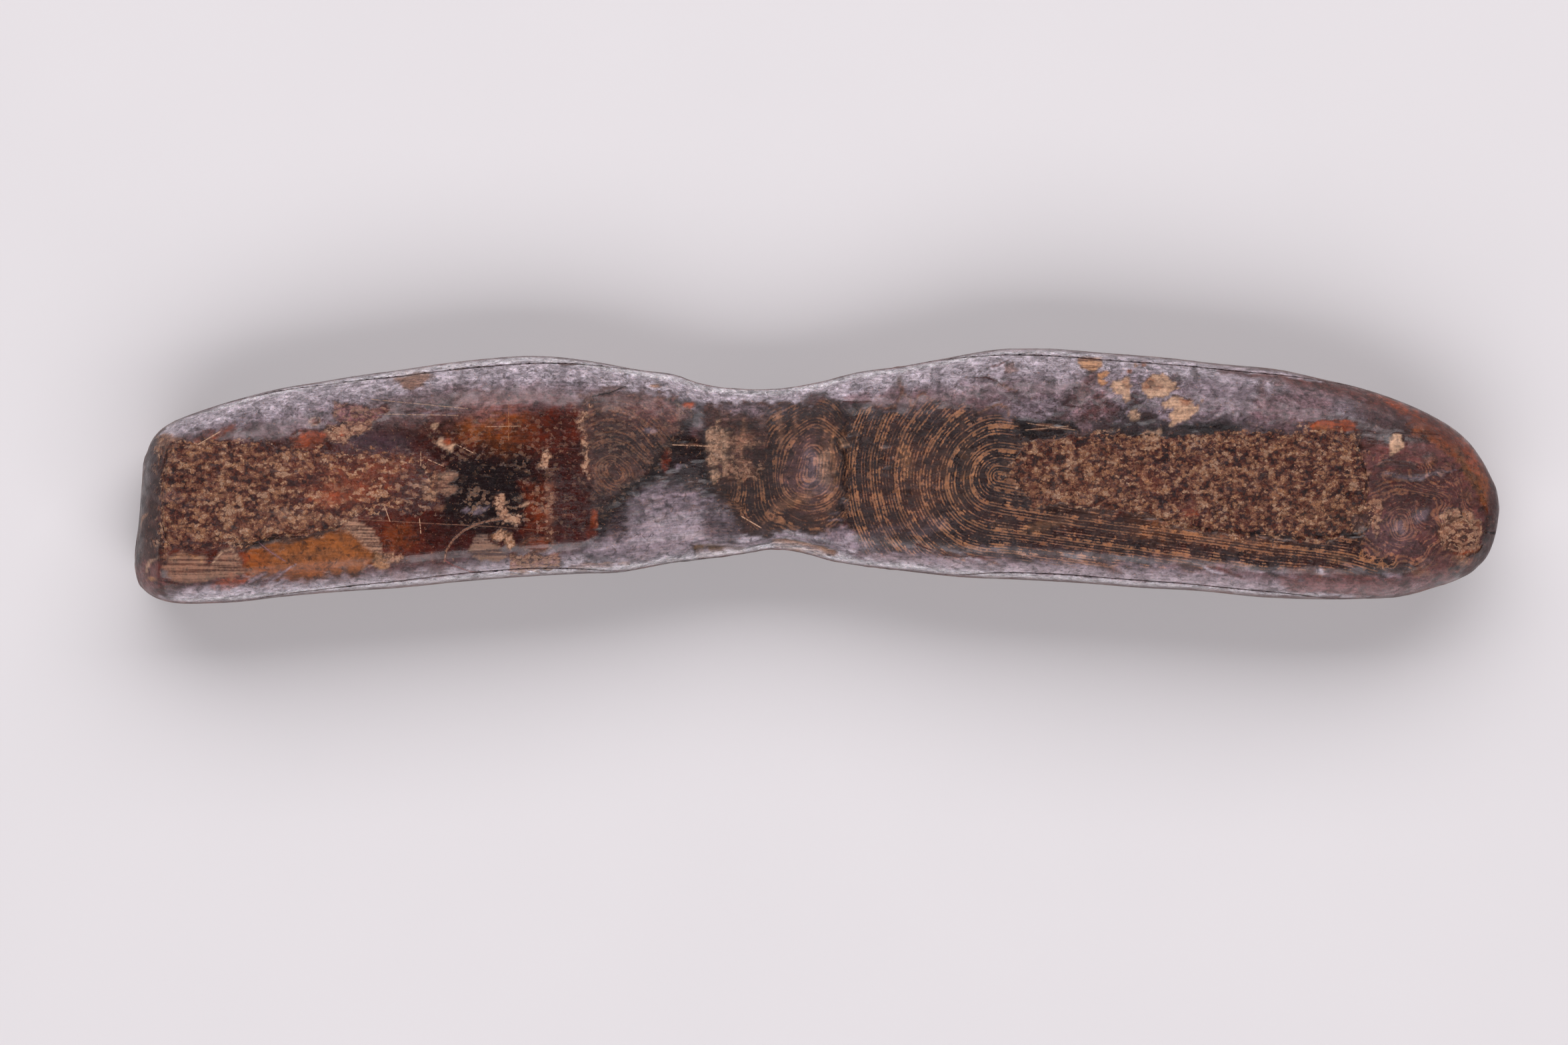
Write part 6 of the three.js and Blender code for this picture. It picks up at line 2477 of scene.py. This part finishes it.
@dataclass
class Core:
    """One of the two nubbly cores that lie bare along the face."""

    name: str
    node: str
    bed: CoreBed
    grains: float = 2.0
    step: float = 0.16
    across: int = 108
    bottom: int = 24
    depth: float = 2.4
    skin_depth: float = 0.25
    tuck: float = 0.04
    rim_lean: float = 0.12

    def build(self) -> bpy.types.Object:
        """Shapes the core and lays the marks on it.

        Returns:
            The finished piece.
        """
        start, end = self.bed.upper[0][0] + 0.15, self.bed.upper[-1][0] - 0.15
        count = round((end - start) * PHOTO.scale / self.step)
        share = np.linspace(-1, 1, count)
        crowded = 0.93 * share + 0.07 * np.sin(share * math.pi / 2)
        u = (start + end) / 2 + (end - start) / 2 * crowded
        high, low = self.bed.chord(u)
        lean = self.rim_lean
        reach = np.concatenate([
            -np.cos(np.linspace(lean, math.pi - lean, self.across)) / math.cos(lean),
            np.cos(np.linspace(0, math.pi, self.bottom + 2))[1:-1],
        ])
        flat = np.linspace(-1, 1, self.across)
        reach[: self.across] = 0.8 * flat + 0.2 * reach[: self.across]
        v = (high + low)[:, None] / 2 - (low - high)[:, None] / 2 * reach
        columns = np.broadcast_to(u[:, None], v.shape)
        x, y = PHOTO.x_mm(columns), PHOTO.y_mm(v)
        canvas = painted(columns.ravel(), v.ravel())
        inward = self.bed.inward(columns, v)
        z = FORM.face(x, y) + canvas.rise.reshape(v.shape)
        z -= self.tuck * (1 - ramp(inward, 0, 4))
        lower = np.arange(len(reach)) >= self.across
        under = FORM.face(x, y) - self.skin_depth - self.depth * ramp(inward, 0, 24)
        z[:, lower] = under[:, lower]
        rings = confine(np.stack([x, y, z], -1))
        piece, order = Skin(self.name, rings).build()
        finish = CarvedIvory(self.name, grains=self.grains)
        finish_piece(piece, at_vertices(canvas, order), finish.material())
        return stand_for(piece, self.node)


@dataclass
class Nodule:
    """The rounded lump of core in its socket near the tip."""

    rings: int = 90
    around: int = 96

    def build(self) -> bpy.types.Object:
        """Shapes the nodule from the size of its node.

        Returns:
            The finished piece.
        """
        low, high = (np.array(corner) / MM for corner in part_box("core_nodule"))
        centre, half = (low + high) / 2, (high - low) / 2
        lean = np.linspace(0, math.pi, self.rings + 2)[1:-1, None]
        turn = np.linspace(0, 2 * math.pi, self.around, endpoint=False)[None, :]
        ball = np.stack(
            [-np.cos(lean) + 0 * turn, -np.sin(lean) * np.cos(turn), np.sin(lean) * np.sin(turn)], -1
        )
        noise = Noise(51)
        lump = noise.rough(3, ball[..., 0] * 2.2, ball[..., 1] * 2.2 + 9, ball[..., 2] * 2.2)
        near, _, own = noise.cells(ball[..., 0] * 6, ball[..., 1] * 5)
        swell = 0.93 + 0.10 * lump + 0.06 * (0.5 - near) * (0.5 + own)
        rings = centre + ball * half * swell[..., None]
        canvas = painted_on(rings)
        canvas.layers[GRAIN][:] = 0.75
        canvas.layers[DULL][:] = 0.6
        canvas.layers[LINES][:] = 0
        piece, order = Skin("nodule_of_core", confine(rings)).build()
        finish_piece(piece, at_vertices(canvas, order), CarvedIvory("nodule_core").material())
        return stand_for(piece, "core_nodule")


@dataclass
class Rind:
    """What is left of the tusk's outer layer round the back and flanks of one wing."""

    name: str
    node: str
    reach: tuple[float, float]
    step: float = 0.5
    outer: int = 112
    inner: int = 30
    gap: float = 0.015
    samples: int = 1440
    least_covered: int = 12
    back_dull: float = 0.5
    girth_radius: float = 14.0

    def build(self) -> bpy.types.Object:
        """Shapes the rind over the body and dresses it.

        Returns:
            The finished piece.
        """
        x = np.arange(self.reach[0], self.reach[1], self.step)
        dense = np.roll(FORM.section(x, self.samples), -self.samples // 4, 1)
        share = TUBE.share(dense, self.gap)
        rings, kept = [], []
        for i in range(len(x)):
            covered = np.flatnonzero(share[i] < 1)
            if len(covered) < self.least_covered:
                continue
            rings.append(self._ring(dense[i], share[i], covered[0], covered[-1]))
            kept.append(i)
        rings = np.array(rings)
        normal = outward(rings)
        outside = np.arange(rings.shape[1]) < self.outer
        canvas = painted_on(rings)
        top = ramp(normal[..., 2], -0.3, 0.1) * ramp(rings[..., 2], 3.0, 6.0) * outside
        upper = np.where(outside, top, ramp(rings[..., 2], 6.5, 9.5))
        fluting = self._fluting(rings) * (1 - top) * outside * ramp(rings[..., 2], 0.0, 0.6)
        rings = rings + normal * fluting[..., None]
        rings[..., 2] += canvas.rise.reshape(top.shape) * upper
        rings = confine(rings)
        shown = (top * ramp(normal[..., 2], 0.08, 0.3)).ravel()
        for layer in (GRAIN, LINES, CHIP, SPECK, DENTS, RIPPLE):
            canvas.layers[layer] = canvas.layers[layer] * shown
        canvas.layers[DULL] += (self.back_dull - canvas.layers[DULL]) * (1 - shown)
        piece, order = Skin(self.name, rings).build()
        finish_piece(piece, at_vertices(canvas, order), Cementum(self.name).material())
        keep(piece, "under", (1 - shown)[order])
        return stand_for(piece, self.node)

    def _ring(self, points: Array, share: Array, first: int, last: int) -> Array:
        """One section of the rind: along its outside, and back along its inside.

        Args:
            points: Points of the bar's section.
            share: Where the trough's wall lies on the way to each.
            first: The first point that is rind.
            last: The last.

        Returns:
            The section's points.
        """
        low, high = FORM.edges(points[:1, 0])
        centre = np.array([points[0, 0], (low[0] + high[0]) / 2, FORM.equator])
        index = np.arange(first, last + 1)
        steps = np.linalg.norm(np.diff(points[index], axis=0), axis=1)
        length = np.concatenate([[0], np.cumsum(steps)])
        outer = np.interp(np.linspace(0, length[-1], self.outer), length, index)
        inner = np.interp(np.linspace(length[-1], 0, self.inner + 2)[1:-1], length, index)
        places = np.concatenate([outer, inner])
        every = np.arange(len(share))
        wall = np.interp(places, every, share)
        made = np.stack([np.interp(places, every, points[:, axis]) for axis in range(3)], -1)
        wall[: self.outer] = 1
        return centre + (made - centre) * wall[:, None]

    def _fluting(self, rings: Array) -> Array:
        """Relief of the tusk's own surface: shallow flutes and fine checks along it.

        Args:
            rings: Rings of points over the skin, in millimetres.

        Returns:
            The height at each point, in millimetres.
        """
        noise = Noise(61)
        x, y, z = (rings[..., axis] for axis in range(3))
        girth = np.arctan2(z - FORM.equator, y - y.mean(1, keepdims=True)) * self.girth_radius
        flute = noise.rough(3, x / 60, girth / 4.5)
        check = noise.smooth(x / 26, girth / 1.7 + 0.4 * noise.smooth(x / 9, girth / 5))
        pitted = 0.03 * noise.rough(2, x / 2, girth / 1.2)
        return 0.14 * flute - 0.12 * ramp(np.abs(check), 0.06, 0.0) + pitted


@dataclass
class Studio:
    """The pale floor, soft light and camera round the object."""

    lens: float = 300.0
    focus_height: float = 8.5
    floor_size: float = 6.0
    light_power: float = 2.75
    room: float = 0.06
    horizon: float = 0.45
    camera_glow: float = 0.5
    tint: tuple[float, float, float] = (1.0, 0.945, 0.99)
    floor_dark: tuple[float, float, float] = (0.78, 0.78, 0.775)
    floor_light: tuple[float, float, float] = (0.81, 0.81, 0.805)
    lamp_size: tuple[float, float] = (2.0, 0.7)
    lamp_out: float = 0.78
    lamp_height: float = 0.76
    lamp_target: float = 0.01
    sensor_width: float = 36.0
    far_clip: float = 20.0

    def build(self) -> None:
        """Sets up everything that isn't the object."""
        self._floor()
        self._world()
        self._lights()
        self._camera()
        bpy.context.scene.view_settings.view_transform = "Standard"

    def _floor(self) -> None:
        """A plain pale floor at the height of the bar's back."""
        select_none()
        bpy.ops.mesh.primitive_plane_add(size=self.floor_size, location=(0, 0, 0))
        floor = bpy.context.object
        floor.name = "floor"
        made = bpy.data.materials.new("pale_floor")
        g = Graph(made)
        shade = g.noise(g.place(), 0.02, 2)
        greys = {0: shade, 6: (*self.floor_dark, 1), 7: (*self.floor_light, 1)}
        pale = g.node("ShaderNodeMix", {"data_type": "RGBA"}, greys, 2)
        shader = g.node(
            "ShaderNodeBsdfPrincipled",
            {},
            {"Base Color": pale, "Roughness": 0.85, "Specular IOR Level": 0.2},
        )
        g.node("ShaderNodeOutputMaterial", {}, {"Surface": shader})
        floor.data.materials.append(made)

    def _world(self) -> None:
        """A dim room, brighter high on both long sides, with a pale horizon for the camera."""
        world = bpy.data.worlds.new("room")
        bpy.context.scene.world = world
        g = Graph(world)
        direction = g.node("ShaderNodeTexCoord", output="Generated")
        up = g.node("ShaderNodeSeparateXYZ", {}, {0: direction}, 2)
        path = g.node("ShaderNodeLightPath", output="Is Camera Ray")
        side = g.node("ShaderNodeSeparateXYZ", {}, {0: direction}, 1)
        flank = side.size().step(0.35, 0.95)
        strength = self.room + self.horizon * flank * up.step(0.05, 0.4)
        strength = strength + up.step(0.2, 0.0) * self.camera_glow * path
        background = g.node(
            "ShaderNodeBackground", {}, {"Color": (*self.tint, 1), "Strength": strength}
        )
        g.node("ShaderNodeOutputWorld", {}, {"Surface": background})

    def _lights(self) -> None:
        """Two long soft lights, one on each side of the bar."""
        for name, side, share in (("far_light", 1, 1.0), ("near_light", -1, 0.85)):
            lamp = bpy.data.lights.new(name, "AREA")
            lamp.shape = "RECTANGLE"
            lamp.size, lamp.size_y = self.lamp_size
            lamp.color = self.tint
            lamp.energy = self.light_power * share * lamp.size * lamp.size_y * math.pi
            light = bpy.data.objects.new(name, lamp)
            bpy.context.scene.collection.objects.link(light)
            light.location = (0, side * self.lamp_out, self.lamp_height)
            aim = Vector((0, 0, self.lamp_target)) - light.location
            light.rotation_euler = aim.to_track_quat("-Z", "Y").to_euler()

    def _camera(self) -> None:
        """A long lens straight above, that frames the bar as in the photograph."""
        camera = bpy.data.cameras.new("camera")
        camera.lens, camera.sensor_width = self.lens, self.sensor_width
        view = bpy.data.objects.new("camera", camera)
        bpy.context.scene.collection.objects.link(view)
        across = PHOTO.width * PHOTO.scale * MM
        away = self.lens / camera.sensor_width * across
        centre_x, centre_y = PHOTO.x_mm(PHOTO.width / 2), PHOTO.y_mm(PHOTO.height / 2)
        view.location = (centre_x * MM, centre_y * MM, self.focus_height * MM + away)
        camera.clip_end = self.far_clip
        bpy.context.scene.camera = view


def main() -> None:
    """Builds the object's pieces in order, then the studio, and reports each."""
    logging.basicConfig(level=logging.INFO, format="%(message)s")
    makers = (
        DentineBody(),
        Core("granular_core_left", "left_core", LEFT_BED, grains=1.5),
        Core("granular_core_right", "right_core", RIGHT_BED),
        Nodule(),
        Rind("rind_of_left_wing", "left_cementum", (-94.0, -7.0)),
        Rind("rind_of_right_wing", "right_cementum", (-7.0, 94.0)),
    )
    for maker in makers:
        piece = maker.build()
        LOG.info("%s: %d vertices", piece.name, len(piece.data.vertices))
    Studio().build()


if __name__ == "__main__":
    main()
